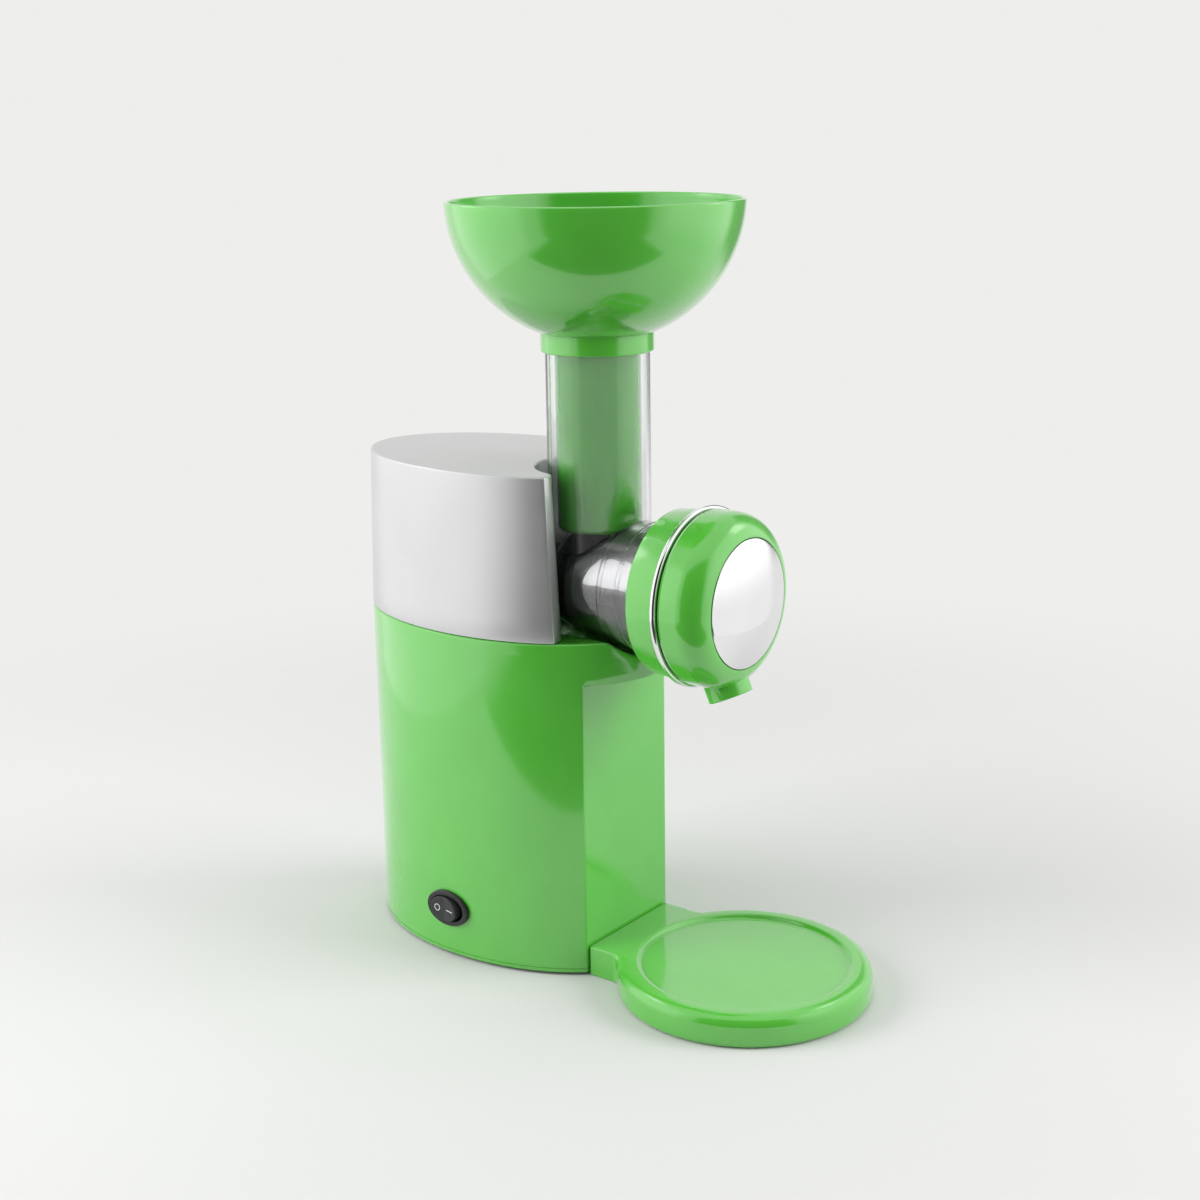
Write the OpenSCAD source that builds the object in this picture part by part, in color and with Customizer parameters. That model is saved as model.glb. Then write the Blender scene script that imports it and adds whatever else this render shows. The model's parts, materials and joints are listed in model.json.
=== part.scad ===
// Frozen fruit dessert maker: frozen fruit goes down the clear chute, a turning cone
// shaves it inside the drum, and the soft dessert leaves through the front nozzle.
// The origin is the middle of the footprint, on the table. +Z is up and -Y is the front.
// Places along the machine are given as distances forward of the middle of the body.

/* [Body] */
// Half of the width of the lower housing
body_half_w = 59.4; // [58:0.1:61]
// Half of the length of the lower housing
body_half_len = 90.5; // [89:0.1:93]
// Height of the top deck of the lower housing
body_h = 182; // [180:0.5:183]
// Height where the front overhang starts
nose_z = 160; // [156:0.5:162]
// Distance of the flat front from the middle of the body
front_flat = 72.2; // [71:0.1:74]
// Wall of the moulded covers
wall = 2.5; // [2.2:0.1:2.8]
// Thickness of the top deck
deck_t = 3; // [2.5:0.1:3.5]
// Height of the housing's lower edge above the table
foot_h = 1.5; // [1.2:0.1:2]
// Thickness of the bottom cover
base_t = 3; // [2.8:0.1:3.5]
// Radius of a rubber foot
foot_r = 7; // [5:0.5:7]
// Distance of the feet from the middle, along the body
foot_along = 56; // [54:0.5:57]
// Distance of the feet from the middle, across the body
foot_across = 34; // [32:0.5:34]
// Distance of the screw posts from the middle, along the body
post_along = 46; // [44:0.5:47]
// Radius of a screw post
post_r = 4.5; // [4:0.1:5]

/* [Upper cover] */
// Height of the top of the upper cover
cover_top = 266.9; // [262:0.1:272]
// Half of the width of the cover at its top
cover_half_w = 54.4; // [53:0.1:56]
// Half of the length of the cover at its top
cover_half_len = 89.5; // [87:0.1:90.4]
// Distance of the cover's front edge from the middle, at the top
cover_front_top = 55.7; // [54:0.1:57]
// Distance of the cover's front edge from the middle, at the bottom
cover_front_low = 60.8; // [60:0.1:62]
// Radius of the hollow round the chute
recess_r = 32.9; // [32.4:0.1:33.4]
// Radius of the rounding at the hollow's front edges
recess_lip = 8; // [7:0.1:8.6]
// Gap of the seam between the two covers
seam = 0.3; // [0.2:0.1:0.6]

/* [Chute] */
// Distance of the chute's axis from the middle of the body
tube_forward = 57.7; // [57.4:0.1:58]
// Outer radius of the chute's tube
tube_r = 26.5; // [26.2:0.1:26.8]
// Wall of the chute's tube
tube_wall = 2.2; // [1.8:0.1:2.4]
// Distance of the tube's top rim below the bowl's neck
tube_drop = 1.25; // [1:0.05:2]
// Height of the drum's axis
drum_z = 206.8; // [206.6:0.1:207]
// Outer radius of the drum's ball-shaped back
drum_r_back = 31.5; // [31.3:0.1:31.8]
// Outer radius of the drum at its mouth
drum_r_front = 35; // [34.5:0.1:35.2]
// Wall of the drum
drum_wall = 2; // [1.8:0.1:2.2]
// Wall of the steel liner
liner_wall = 0.8; // [0.6:0.1:1]
// Distance of the liner's back edge from the middle of the body
liner_back = 62; // [61.5:0.1:63]

/* [Plunger] */
// Outer radius of the plunger's stem
stem_r = 22; // [21:0.1:23]
// Wall of the stem
stem_wall = 2; // [1.5:0.1:3]
// Height of the stem's lower end when the plunger is all the way down
stem_end = 234.5; // [234.4:0.1:238]
// Radius of the black tip under the stem
tip_r = 5.8; // [5:0.1:6]
// Length of the tip below the stem
tip_len = 11; // [8:0.5:11]
// Outer radius of the collar under the bowl
collar_r = 28.85; // [28.6:0.05:30]
// Height of the collar, from its lower edge to the bowl's neck
collar_h = 9.85; // [9:0.05:12]
// Radius of the bowl at its rim
bowl_r = 75; // [72:0.1:77]
// Depth of the bowl's outer curve, below its widest level
bowl_depth = 73; // [70:0.5:74]
// Overall height of the machine, at the bowl's rim
total_h = 400; // [399:0.5:402]
// Wall of the bowl
bowl_wall = 2.2; // [1.8:0.1:3]

/* [Outlet] */
// Distance of the lock ring's back face from the middle of the body
ring_back = 104; // [103.8:0.1:104.4]
// Radius of the lock ring at its back
ring_r_back = 42.3; // [42.2:0.1:43]
// Radius of the lock ring at its front
ring_r_front = 43.9; // [43.5:0.1:44.5]
// Outer radius of the chrome ring
chrome_r = 46.1; // [45.5:0.1:46.6]
// Width of the chrome ring
chrome_w = 3.1; // [2.6:0.1:3.2]
// Distance of the front cap's back edge from the middle of the body
cap_back = 124.6; // [124.6:0.1:125.4]
// Outer radius of the front cap
cap_r = 44.6; // [44:0.1:45.2]
// Radius of the cap's rounded shoulder
shoulder_r = 14; // [13:0.1:15]
// Distance of the cap's flat front from the middle of the body
cap_front = 149; // [148:0.1:151]
// Wall of the front cap
cap_wall = 2.5; // [2.2:0.1:3]
// Radius of the chrome dome
dome_r = 32.6; // [31:0.1:33]
// How far the dome bulges past the cap's front
dome_rise = 5.5; // [3:0.1:8]
// Outer radius of the nozzle
nozzle_r = 11.6; // [10.5:0.1:12]
// Wall of the nozzle
nozzle_wall = 2.6; // [2.4:0.1:2.8]
// Lean of the nozzle, forward of straight down
nozzle_lean = 24; // [20:1:27]
// Distance of the nozzle's end from the middle of the body
nozzle_forward = 138.8; // [138:0.1:141]
// Height of the nozzle's end
nozzle_end = 157.2; // [154:0.1:158]

/* [Cup plate] */
// Distance of the plate's middle from the middle of the body
plate_forward = 147.5; // [145:0.5:151]
// Radius of the plate
plate_r = 65.9; // [63:0.1:69]
// Radius of the plate's shallow recess
sink_r = 55.05; // [52:0.05:57]
// Depth of the recess
sink_depth = 2.2; // [1.5:0.1:3]
// Height of the plate
plate_h = 16.6; // [15:0.1:18]
// Wall of the plate
plate_wall = 3; // [2.5:0.1:3.5]
// Half of the width of the neck that joins the plate to the body
neck_half_w = 34.5; // [32:0.1:35]
// Radius of the blend between the neck and the plate
neck_blend = 8; // [5:0.5:12]

/* [Rotor] */
// Radius of the rotor's back disc
disc_r = 26.5; // [25.5:0.1:26.8]
// Thickness of the back disc
disc_t = 6.5; // [5:0.1:6.8]
// Radius of the cone next to the disc
cone_r_back = 12.4; // [12:0.1:12.5]
// Radius of the cone at the front
cone_r_front = 27; // [25:0.1:27.2]
// Number of blades on the cone
blades = 4; // [2:1:6]
// How far a blade stands out of the cone
blade_proud = 1.6; // [1:0.1:2]
// Thickness of a blade
blade_t = 1.2; // [0.8:0.1:2]

/* [Drive] */
// Radius of the output shaft
shaft_r = 4; // [3.8:0.1:4.2]
// Running clearance between a shaft and its bush
run_fit = 0.04; // [0.02:0.01:0.08]
// Gear module
gear_m = 1.25; // [1.23:0.01:1.26]
// Teeth of the motor pinion
pinion_teeth = 12; // [12:1:12]
// Teeth of the first wheel
wheel_teeth = 42; // [41:1:42]
// Teeth of the second pinion
second_teeth = 14; // [14:1:14]
// Teeth of the output wheel
output_teeth = 40; // [39:1:40]
// Radius of the motor shaft
motor_shaft_r = 2.5; // [2.4:0.1:2.8]
// Radius of the armature
armature_r = 16.9; // [16.4:0.1:17]
// Air gap between the armature and the field
air_gap = 0.5; // [0.4:0.1:0.7]
// Length of the laminated stacks
stack_len = 28; // [26:1:28]
// Half of the width of the field laminations
field_half_w = 28; // [27.5:0.1:28.5]

/* [Switch and cord inlet] */
// Height of the switch's middle
switch_z = 27.9; // [24:0.1:32]
// Distance of the switch's middle behind the middle of the body
switch_behind = 3.3; // [0:0.1:8]
// Length of the switch's bezel
bezel_len = 28.2; // [27:0.1:30]
// Height of the switch's bezel
bezel_h = 19.7; // [18.5:0.1:21]
// How far the bezel stands out of the housing
bezel_proud = 2.2; // [1.8:0.1:2.6]
// How far the rocker turns between off and on
rocker_turn = 12; // [10:1:13]
// Radius of the cord inlet's bore
inlet_r = 3.6; // [3:0.1:4]
// Height of the cord inlet
inlet_z = 24; // [20:1:30]

/* [Hidden] */

green = [0.35, 0.72, 0.30];
silver = [0.80, 0.80, 0.82];
chrome = [0.90, 0.90, 0.92];
black = [0.10, 0.10, 0.11];
steel = [0.62, 0.62, 0.65];
brass = [0.80, 0.65, 0.30];
copper = [0.72, 0.40, 0.20];
cream = [0.90, 0.88, 0.80];
clear = [0.85, 0.92, 0.95, 0.35];

// Clearance between pieces, and how far a cut runs past a face
gap = 0.3;
over = 1;
outline_points = 72;
sides = [-1, 1];

screw_r = 1.5;
screw_hole = screw_r + 0.05;
screw_clear = screw_r + gap;
head_r = 3.2;
head_t = 1.5;
head_seat = head_r + gap / 2;

inlet_proud = 3;
body_y = (plate_forward + plate_r - body_half_len - inlet_proud) / 2;
tube_y = body_y - tube_forward;
plate_y = body_y - plate_forward;
base_top = foot_h + base_t;
deck_low = body_h - deck_t;
bowl_level = total_h + 2;
neck_z = bowl_level - bowl_depth * sqrt(1 - pow((collar_r + 1.5) / bowl_r, 2));
collar_z = neck_z - collar_h;
tube_top = neck_z - tube_drop;

function ellipse(a, b, n = outline_points) =
  [for (i = [0:n - 1]) [a * cos(i * 360 / n), b * sin(i * 360 / n)]];
function arc(cx, cy, r, from, to, n = 8) =
  [for (i = [0:n]) let (t = from + (to - from) * i / n) [cx + r * cos(t), cy + r * sin(t)]];
function half_w_at(along, inset) =
  (body_half_w - inset) * sqrt(1 - pow(along / (body_half_len - inset), 2));
function reversed(list) = [for (i = [len(list) - 1:-1:0]) list[i]];

// A round bar that runs forward between two distances
module bar(r, from, to, z = drum_z, x = 0) {
  translate([x, body_y - from, z])
    rotate([90, 0, 0])
      cylinder(r = r, h = to - from, $fn = 96);
}

// A turned piece on an axis that runs forward; its outline has [radius, distance forward] points
module turned(outline, z = drum_z) {
  translate([0, body_y, z])
    rotate([90, 0, 0])
      rotate_extrude($fn = 96)
        polygon(outline);
}

// A flat shape drawn as [across, height] from a centre at height z, extruded forward
module upright(from, to, z) {
  translate([0, body_y - from, z])
    rotate([90, 0, 0])
      linear_extrude(to - from)
        children();
}

module block(x0, x1, from, to, z0, z1) {
  translate([x0, body_y - to, z0])
    cube([x1 - x0, to - from, z1 - z0]);
}

module mirrored_pair(x, along, z) {
  for (sx = sides, sy = sides)
    translate([sx * x, body_y + sy * along, z])
      children();
}

module body_outline(inset = 0) {
  translate([0, body_y])
    polygon(ellipse(body_half_w - inset, body_half_len - inset));
}

module behind(forward) {
  translate([-body_half_w, body_y - forward])
    square([2 * body_half_w, forward + body_half_len + over]);
}

module screw(shank) {
  cylinder(r = head_r, h = head_t, $fn = 48);
  cylinder(r = screw_r, h = head_t + shank, $fn = 32);
}

// Distances forward of the middle of the body, from the drum back to the gear lid
recess_back = tube_forward - recess_r - wall;
collar_body_r = 17;
collar_lug_r = 20;
collar_lug_t = 2.7;
collar_flange_front = recess_back - 0.5;
collar_flange_back = collar_flange_front - 3.5;
lug_back = tube_forward - sqrt(pow(drum_r_back - drum_wall, 2) - pow(collar_lug_r, 2)) + gap;
collar_front = lug_back + collar_lug_t + 2;
disc_back = collar_front + 3;
disc_front = disc_back + disc_t;
flange_back = ring_back + 2.7;
drum_mouth = flange_back + 3.3;
case_flange_back = collar_flange_back - 3;
stack_back = 8;
stack_front = stack_back + stack_len;
case_front = -5;
case_t = 3;
case_in = case_front - case_t;
wheel_front = case_in - 1.5;
wheel_back = wheel_front - 6;
output_front = wheel_back - 1.5;
output_back = output_front - 8;
case_back = output_back - 2;
lid_back = case_back - 3;
shaft_back = lid_back - 3;

// Heights of the gear train
centre_step = gear_m * (pinion_teeth + wheel_teeth) / 2;
second_step = gear_m * (second_teeth + output_teeth) / 2;
idler_z = drum_z - second_step;
motor_z = idler_z - centre_step;
case_half_w = 31.5;
case_low = motor_z - case_half_w;

// Lower housing

cradle_r = drum_r_front + gap;
cradle_back = lug_back - 6;
post_x = half_w_at(post_along, wall) - post_r - 1.5;
post_top = 30;
post_hole_len = 12;
tongue_half_w = 24;
tongue_t = 1.2;
tongue_len = 9;
switch_y = body_y + switch_behind;
bezel_seat_x = half_w_at(bezel_len / 2 + switch_behind, 0);
switch_hole_len = bezel_len - 3.2;
switch_hole_h = bezel_h - 2.8;
inlet_seat = body_half_len - 0.8;
inlet_flange_r = inlet_r + 3;
inlet_neck_r = inlet_r + 1.6;

module oval_prism(half_len, half_h, x0, x1) {
  translate([x0, switch_y, switch_z])
    rotate([90, 0, 90])
      linear_extrude(x1 - x0)
        polygon(ellipse(half_len, half_h, 48));
}

module housing_outside() {
  translate([0, 0, foot_h])
    linear_extrude(nose_z - foot_h)
      intersection() {
        body_outline();
        behind(front_flat);
      }
  translate([0, 0, nose_z])
    linear_extrude(body_h - nose_z)
      body_outline();
}

module housing_inside() {
  difference() {
    union() {
      translate([0, 0, foot_h - over])
        linear_extrude(deck_low - foot_h + over)
          intersection() {
            body_outline(wall);
            behind(front_flat - wall);
          }
      translate([0, 0, nose_z + wall])
        linear_extrude(deck_low - nose_z - wall)
          body_outline(wall);
    }
    bar(cradle_r + wall, cradle_back - wall, body_half_len);
  }
  difference() {
    translate([0, 0, deck_low - over])
      linear_extrude(deck_t + 2 * over)
        intersection() {
          body_outline(wall);
          behind(cover_front_top - wall - over);
        }
    translate([0, tube_y, deck_low - 2 * over])
      cylinder(r = recess_r + wall + over, h = deck_t + 4 * over, $fn = 96);
  }
}

module base_housing() {
  color(green)
    difference() {
      union() {
        difference() {
          housing_outside();
          housing_inside();
        }
        for (sx = sides, sy = sides)
          translate([sx * post_x, body_y + sy * post_along, base_top + gap]) {
            cylinder(r = post_r, h = post_top - base_top, $fn = 48);
            translate([sx > 0 ? 0 : -post_r - 2.5, -1, 0])
              cube([post_r + 2.5, 2, post_top - base_top]);
          }
      }
      bar(cradle_r, cradle_back, body_half_len + over);
      mirrored_pair(post_x, post_along, base_top - over)
        cylinder(r = screw_hole, h = post_hole_len + over, $fn = 32);
      block(-tongue_half_w - gap, tongue_half_w + gap, front_flat - wall - over, front_flat + over,
        foot_h - over, foot_h + tongue_t + gap);
      oval_prism(bezel_len / 2 + gap, bezel_h / 2 + gap, -body_half_w - over, -bezel_seat_x);
      oval_prism(switch_hole_len / 2, switch_hole_h / 2, -body_half_w - over, wall - body_half_w + over);
      bar(inlet_flange_r + gap, -body_half_len - over, -inlet_seat, inlet_z);
      bar(inlet_neck_r + 0.05, -body_half_len - over, wall + over - body_half_len, inlet_z);
    }
}

// Bottom cover, feet and screws

foot_seat = 1.2;
leg_w = 8;
leg_across = 26;
leg_along = 34;
leg_middle = 10;
socket_wall = 1.5;
socket_h = 6;
plate_screw_x = 18;
plate_screw_forward = front_flat - wall - tongue_len / 2;
vent_w = 2.5;
vent_half = 12;
vent_step = 7;

module at_legs(z) {
  for (sx = sides, sy = sides)
    translate([sx * leg_across, body_y - leg_middle + sy * leg_along, z])
      children();
}

module bottom_cover() {
  color(green)
    difference() {
      union() {
        translate([0, 0, foot_h])
          linear_extrude(base_t)
            intersection() {
              body_outline(wall + gap);
              behind(front_flat - wall - gap);
            }
        at_legs(base_top)
          linear_extrude(socket_h)
            square(leg_w + 2 * (gap + socket_wall), center = true);
      }
      mirrored_pair(foot_across, foot_along, foot_h - over)
        cylinder(r = foot_r + gap / 2, h = foot_seat + over, $fn = 48);
      mirrored_pair(post_x, post_along, foot_h - over) {
        cylinder(r = screw_clear, h = base_t + 2 * over, $fn = 32);
        cylinder(r = head_seat, h = head_t + over, $fn = 48);
      }
      at_legs(base_top)
        linear_extrude(socket_h + over)
          square(leg_w + 2 * gap, center = true);
      at_legs(foot_h - over) {
        cylinder(r = screw_clear, h = base_t + 2 * over, $fn = 32);
        cylinder(r = head_seat, h = head_t + over, $fn = 48);
      }
      block(-tongue_half_w - gap, tongue_half_w + gap,
        front_flat - wall - tongue_len - gap, front_flat, foot_h - over, foot_h + tongue_t);
      for (sx = sides)
        translate([sx * plate_screw_x, body_y - plate_screw_forward, foot_h - over])
          cylinder(r = screw_hole, h = base_t + 2 * over, $fn = 32);
      for (i = [-3:3])
        block(-vent_half, vent_half, i * vent_step - vent_w / 2, i * vent_step + vent_w / 2,
          foot_h - over, base_top + over);
      for (sx = sides)
        translate([sx * clamp_screw_x, body_y - clamp_forward, base_top - clamp_screw_sink])
          cylinder(r = screw_hole, h = clamp_screw_sink + over, $fn = 32);
    }
}

module rubber_feet() {
  color(black)
    mirrored_pair(foot_across, foot_along, 0)
      cylinder(r = foot_r, h = foot_h + foot_seat, $fn = 48);
}

module base_screws() {
  color(steel)
    mirrored_pair(post_x, post_along, foot_h)
      screw(10);
}

// Cup plate

neck_face = front_flat + gap;
blend_forward = plate_forward
  - sqrt(pow(plate_r + neck_blend, 2) - pow(neck_half_w + neck_blend, 2));
blend_turn = atan2(plate_forward - blend_forward, neck_half_w + neck_blend);
plate_edge_r = 6.5;
plate_low_r = 3;
plate_head_t = 1;

function neck_side(s, narrower) = [
  for (i = [0:8]) let (t = i / 8 * blend_turn)
    [s * (neck_half_w - narrower + neck_blend * (1 - cos(t))), -blend_forward - neck_blend * sin(t)]
];

module neck_outline(narrower, from) {
  translate([0, body_y])
    polygon(concat(
      [[neck_half_w - narrower, -from]], neck_side(1, narrower), [[0, -plate_forward]],
      reversed(neck_side(-1, narrower)), [[narrower - neck_half_w, -from]]));
}

module cup_plate() {
  color(green)
    difference() {
      union() {
        translate([0, plate_y, 0])
          rotate_extrude($fn = 128)
            polygon(concat(
              [[0, 0]],
              arc(plate_r - plate_low_r, plate_low_r, plate_low_r, -90, 0, 5),
              arc(plate_r - plate_edge_r, plate_h - plate_edge_r, plate_edge_r, 0, 90),
              [[sink_r, plate_h], [sink_r - 1, plate_h - sink_depth], [0, plate_h - sink_depth]]));
        difference() {
          linear_extrude(plate_h)
            neck_outline(0, neck_face);
          translate([0, plate_y, -over])
            cylinder(r = plate_r - plate_edge_r, h = plate_h + 2 * over, $fn = 96);
        }
        block(-tongue_half_w, tongue_half_w, front_flat - wall - tongue_len, neck_face + plate_wall,
          foot_h, foot_h + tongue_t);
      }
      translate([0, plate_y, -over])
        cylinder(r = plate_r - plate_wall - 1, h = plate_h - sink_depth - plate_wall + over, $fn = 96);
      translate([0, 0, -over])
        linear_extrude(plate_h - plate_wall + over)
          neck_outline(plate_wall, neck_face + plate_wall);
      for (sx = sides)
        translate([sx * plate_screw_x, body_y - plate_screw_forward, foot_h - over])
          cylinder(r = screw_clear, h = tongue_t + 2 * over, $fn = 32);
    }
}

module plate_screws() {
  color(steel)
    for (sx = sides)
      translate([sx * plate_screw_x, body_y - plate_screw_forward, foot_h - plate_head_t]) {
        cylinder(r = head_r, h = plate_head_t, $fn = 48);
        cylinder(r = screw_r, h = plate_head_t + base_t, $fn = 32);
      }
}

// Upper cover: the band between the outer oval and the hollow round the chute, drawn upwards

cover_low = body_h + seam;
cover_steps = 48;
tab_len = 7;
tab_t = 2;

function cover_mix(low, high, z) = low + (high - low) * (z - cover_low) / (cover_top - cover_low);
function cover_front(z, inset) = cover_mix(cover_front_low, cover_front_top, z) - inset;
function outer_curve(z, inset) =
  let (
    a = cover_mix(body_half_w, cover_half_w, z) - inset,
    b = cover_mix(body_half_len, cover_half_len, z) - inset,
    start = -asin(cover_front(z, inset) / b))
    arc(0, 0, 1, start, 180 - start, cover_steps) * [[a, 0], [0, b]];
function inner_curve(z, inset) =
  let (
    lip = recess_lip - inset,
    r = recess_r + inset,
    lip_y = lip - cover_front(z, inset),
    off = lip_y + tube_forward,
    lip_x = sqrt(pow(r + lip, 2) - pow(off, 2)),
    turn = atan2(off, lip_x),
    side = arc(lip_x, lip_y, lip, -90, turn - 180, 8),
    back = arc(0, -tube_forward, r, turn, 180 - turn, cover_steps - 16))
    concat(
      [for (i = [0:7]) side[i]], back,
      [for (i = [7:-1:0]) [-side[i][0], side[i][1]]]);
function at_height(curve, z) = [for (p = curve) [p[0], p[1], z]];
function quad(a, b, c, d) = [[a, b, c], [a, c, d]];

module cover_solid(inset, z0, z1) {
  n = cover_steps + 1;
  points = concat(
    at_height(outer_curve(z0, inset), z0), at_height(inner_curve(z0, inset), z0),
    at_height(outer_curve(z1, inset), z1), at_height(inner_curve(z1, inset), z1));
  strips = [for (i = [0:n - 2]) each concat(
    quad(2 * n + i, 2 * n + i + 1, i + 1, i),
    quad(n + i, n + i + 1, 3 * n + i + 1, 3 * n + i),
    quad(3 * n + i, 3 * n + i + 1, 2 * n + i + 1, 2 * n + i),
    quad(i, i + 1, n + i + 1, n + i))];
  ends = concat(
    quad(2 * n, 0, n, 3 * n),
    quad(4 * n - 1, 2 * n - 1, n - 1, 3 * n - 1));
  translate([0, body_y, 0])
    polyhedron(points, concat(strips, ends));
}

module cover_band(outside, inside, z0, z1) {
  translate([0, 0, z0])
    linear_extrude(z1 - z0)
      difference() {
        body_outline(outside);
        body_outline(inside);
      }
}

module upper_cover() {
  tab_half = 7;
  color(silver) {
    difference() {
      cover_solid(0, cover_low, cover_top);
      cover_solid(wall, cover_low - over, cover_top - wall);
      bar(collar_body_r + gap, 0, tube_forward);
    }
    intersection() {
      union() {
        cover_band(wall - 0.5, wall + gap + tab_t, cover_low, cover_low + 4);
        cover_band(wall + gap, wall + gap + tab_t, cover_low - tab_len, cover_low + 4);
      }
      union() {
        for (along = [-50, 10])
          block(-body_half_w, body_half_w, along - tab_half, along + tab_half,
            cover_low - tab_len, cover_low + 4);
        block(-tab_half, tab_half, -body_half_len, 0, cover_low - tab_len, cover_low + 4);
      }
    }
  }
}

// Black collar that carries the chute

bush_r = 7;
bush_front = collar_front - 2.5;
bush_back = bush_front - 14;
seal_r = 8;
collar_screw_r = 14.6;
collar_screw_len = 8;
lug_turn = 44;

module lugs(r, turn, from, to, start) {
  for (i = [0:2])
    upright(from, to, drum_z)
      polygon(concat([[0, 0]], arc(0, 0, r, start + 120 * i - turn / 2, start + 120 * i + turn / 2, 6)));
}

module drum_collar() {
  color(black)
    difference() {
      union() {
        bar(collar_lug_r, collar_flange_back, collar_flange_front);
        bar(collar_body_r, collar_flange_back, collar_front);
        lugs(collar_lug_r, lug_turn - 6, lug_back, lug_back + collar_lug_t, 90);
      }
      bar(bush_r, collar_flange_back - over, bush_front);
      bar(seal_r, bush_front, collar_front + over);
      for (i = [0:3])
        rotate_on_axis(45 + 90 * i)
          bar(screw_hole, collar_flange_back - over, collar_flange_back + collar_screw_len, drum_z, collar_screw_r);
    }
}

module rotate_on_axis(angle, z = drum_z) {
  translate([0, body_y, z])
    rotate([0, -angle, 0])
      translate([0, -body_y, -z])
        children();
}

module collar_screws() {
  color(steel)
    for (i = [0:3])
      rotate_on_axis(45 + 90 * i) {
        bar(head_r, case_flange_back - head_t, case_flange_back, drum_z, collar_screw_r);
        bar(screw_r, case_flange_back - head_t, collar_flange_back + collar_screw_len - 0.5,
          drum_z, collar_screw_r);
      }
}

// Clear chute: the feed tube and the drum in one piece

drum_flange_r = drum_r_front + 2.4;

function drum_r(forward) = drum_r_back
  + (drum_r_front - drum_r_back) * max(0, forward - tube_forward) / (ring_back - tube_forward);

module tube_bore() {
  translate([0, tube_y, drum_z])
    cylinder(r = tube_r - tube_wall, h = tube_top - drum_z + over, $fn = 128);
}

module ball(r) {
  translate([0, tube_y, drum_z])
    sphere(r = r, $fn = 96);
}

module chute() {
  color(clear)
    difference() {
      union() {
        ball(drum_r_back);
        turned([
          [0, tube_forward], [drum_r_back, tube_forward], [drum_r(ring_back), ring_back],
          [drum_r(ring_back), flange_back], [drum_flange_r, flange_back], [drum_flange_r, drum_mouth],
          [0, drum_mouth]]);
        translate([0, tube_y, drum_z])
          cylinder(r = tube_r, h = tube_top - drum_z, $fn = 128);
      }
      ball(drum_r_back - drum_wall);
      turned([
        [0, tube_forward], [drum_r_back - drum_wall, tube_forward],
        [drum_r(ring_back) - drum_wall, ring_back], [drum_r(ring_back) - drum_wall, drum_mouth + over],
        [0, drum_mouth + over]]);
      tube_bore();
      bar(collar_body_r + gap, tube_forward - drum_r_back - over, lug_back);
      lugs(collar_lug_r + gap, lug_turn, tube_forward - drum_r_back - over, lug_back + over, 30);
    }
}

// Steel liner and its seat inside the drum

seat_back = liner_back - 5;
seat_lip = 3.5;
seat_play = 0.1;
liner_front = ring_back - 0.5;

module liner_seat() {
  color(black)
    difference() {
      turned([
        [drum_r(seat_back) - drum_wall - seat_lip, seat_back],
        [drum_r(seat_back) - drum_wall - seat_play, seat_back],
        [drum_r(liner_back) - drum_wall - seat_play, liner_back],
        [drum_r(liner_back) - drum_wall - seat_lip, liner_back]]);
      tube_bore();
    }
}

module steel_liner() {
  function outside(f) = drum_r(f) - drum_wall - seat_play;
  color(steel)
    difference() {
      turned([
        [outside(liner_back) - liner_wall, liner_back], [outside(liner_back), liner_back],
        [outside(liner_front), liner_front], [outside(liner_front) - liner_wall, liner_front]]);
      tube_bore();
    }
}

// Plunger: bowl, stem and tip

collar_in_r = tube_r + gap;
collar_seat = tube_top + gap;
floor_z = collar_seat + 3.7;
spigot_r = stem_r - stem_wall - 0.05;
spigot_len = 8;
tip_pin_r = 3;
tip_pin_len = 4;

module plunger_bowl() {
  steps = 18;
  low_turn = asin((bowl_level - neck_z) / bowl_depth);
  rim_turn = asin((bowl_level - total_h) / bowl_depth);
  in_r = bowl_r - bowl_wall;
  in_depth = bowl_depth - bowl_wall;
  in_low = asin((bowl_level - floor_z) / in_depth);
  in_rim = asin((bowl_level - total_h) / in_depth);
  outside = [for (i = [0:steps]) let (t = low_turn + (rim_turn - low_turn) * i / steps)
    [bowl_r * cos(t), bowl_level - bowl_depth * sin(t)]];
  inside = [for (i = [0:steps]) let (t = in_rim + (in_low - in_rim) * i / steps)
    [in_r * cos(t), bowl_level - in_depth * sin(t)]];
  color(green)
    translate([0, tube_y, 0])
      rotate_extrude($fn = 128)
        polygon(concat(
          [[0, collar_seat - spigot_len], [spigot_r, collar_seat - spigot_len], [spigot_r, collar_seat],
            [collar_in_r, collar_seat], [collar_in_r, collar_z], [collar_r - 1, collar_z],
            [collar_r, collar_z + 1], [collar_r, neck_z]],
          outside, inside, [[0, floor_z]]));
}

module plunger_stem() {
  end_r = 3;
  color(green)
    translate([0, tube_y, 0])
      difference() {
        rotate_extrude($fn = 96)
          polygon(concat(
            [[0, stem_end]],
            arc(stem_r - end_r, stem_end + end_r, end_r, -90, 0, 6),
            [[stem_r, collar_seat], [stem_r - stem_wall, collar_seat], [stem_r - stem_wall, stem_end + 3],
              [0, stem_end + 3]]));
        translate([0, 0, stem_end - over])
          cylinder(r = tip_pin_r + 0.05, h = 3 + 2 * over, $fn = 48);
      }
}

module plunger_tip() {
  color(black)
    translate([0, tube_y, stem_end - tip_len]) {
      cylinder(r = tip_r, h = tip_len, $fn = 64);
      cylinder(r = tip_pin_r, h = tip_len + tip_pin_len, $fn = 48);
    }
}

// Lock ring, chrome ring, gasket, cap and dome

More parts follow.
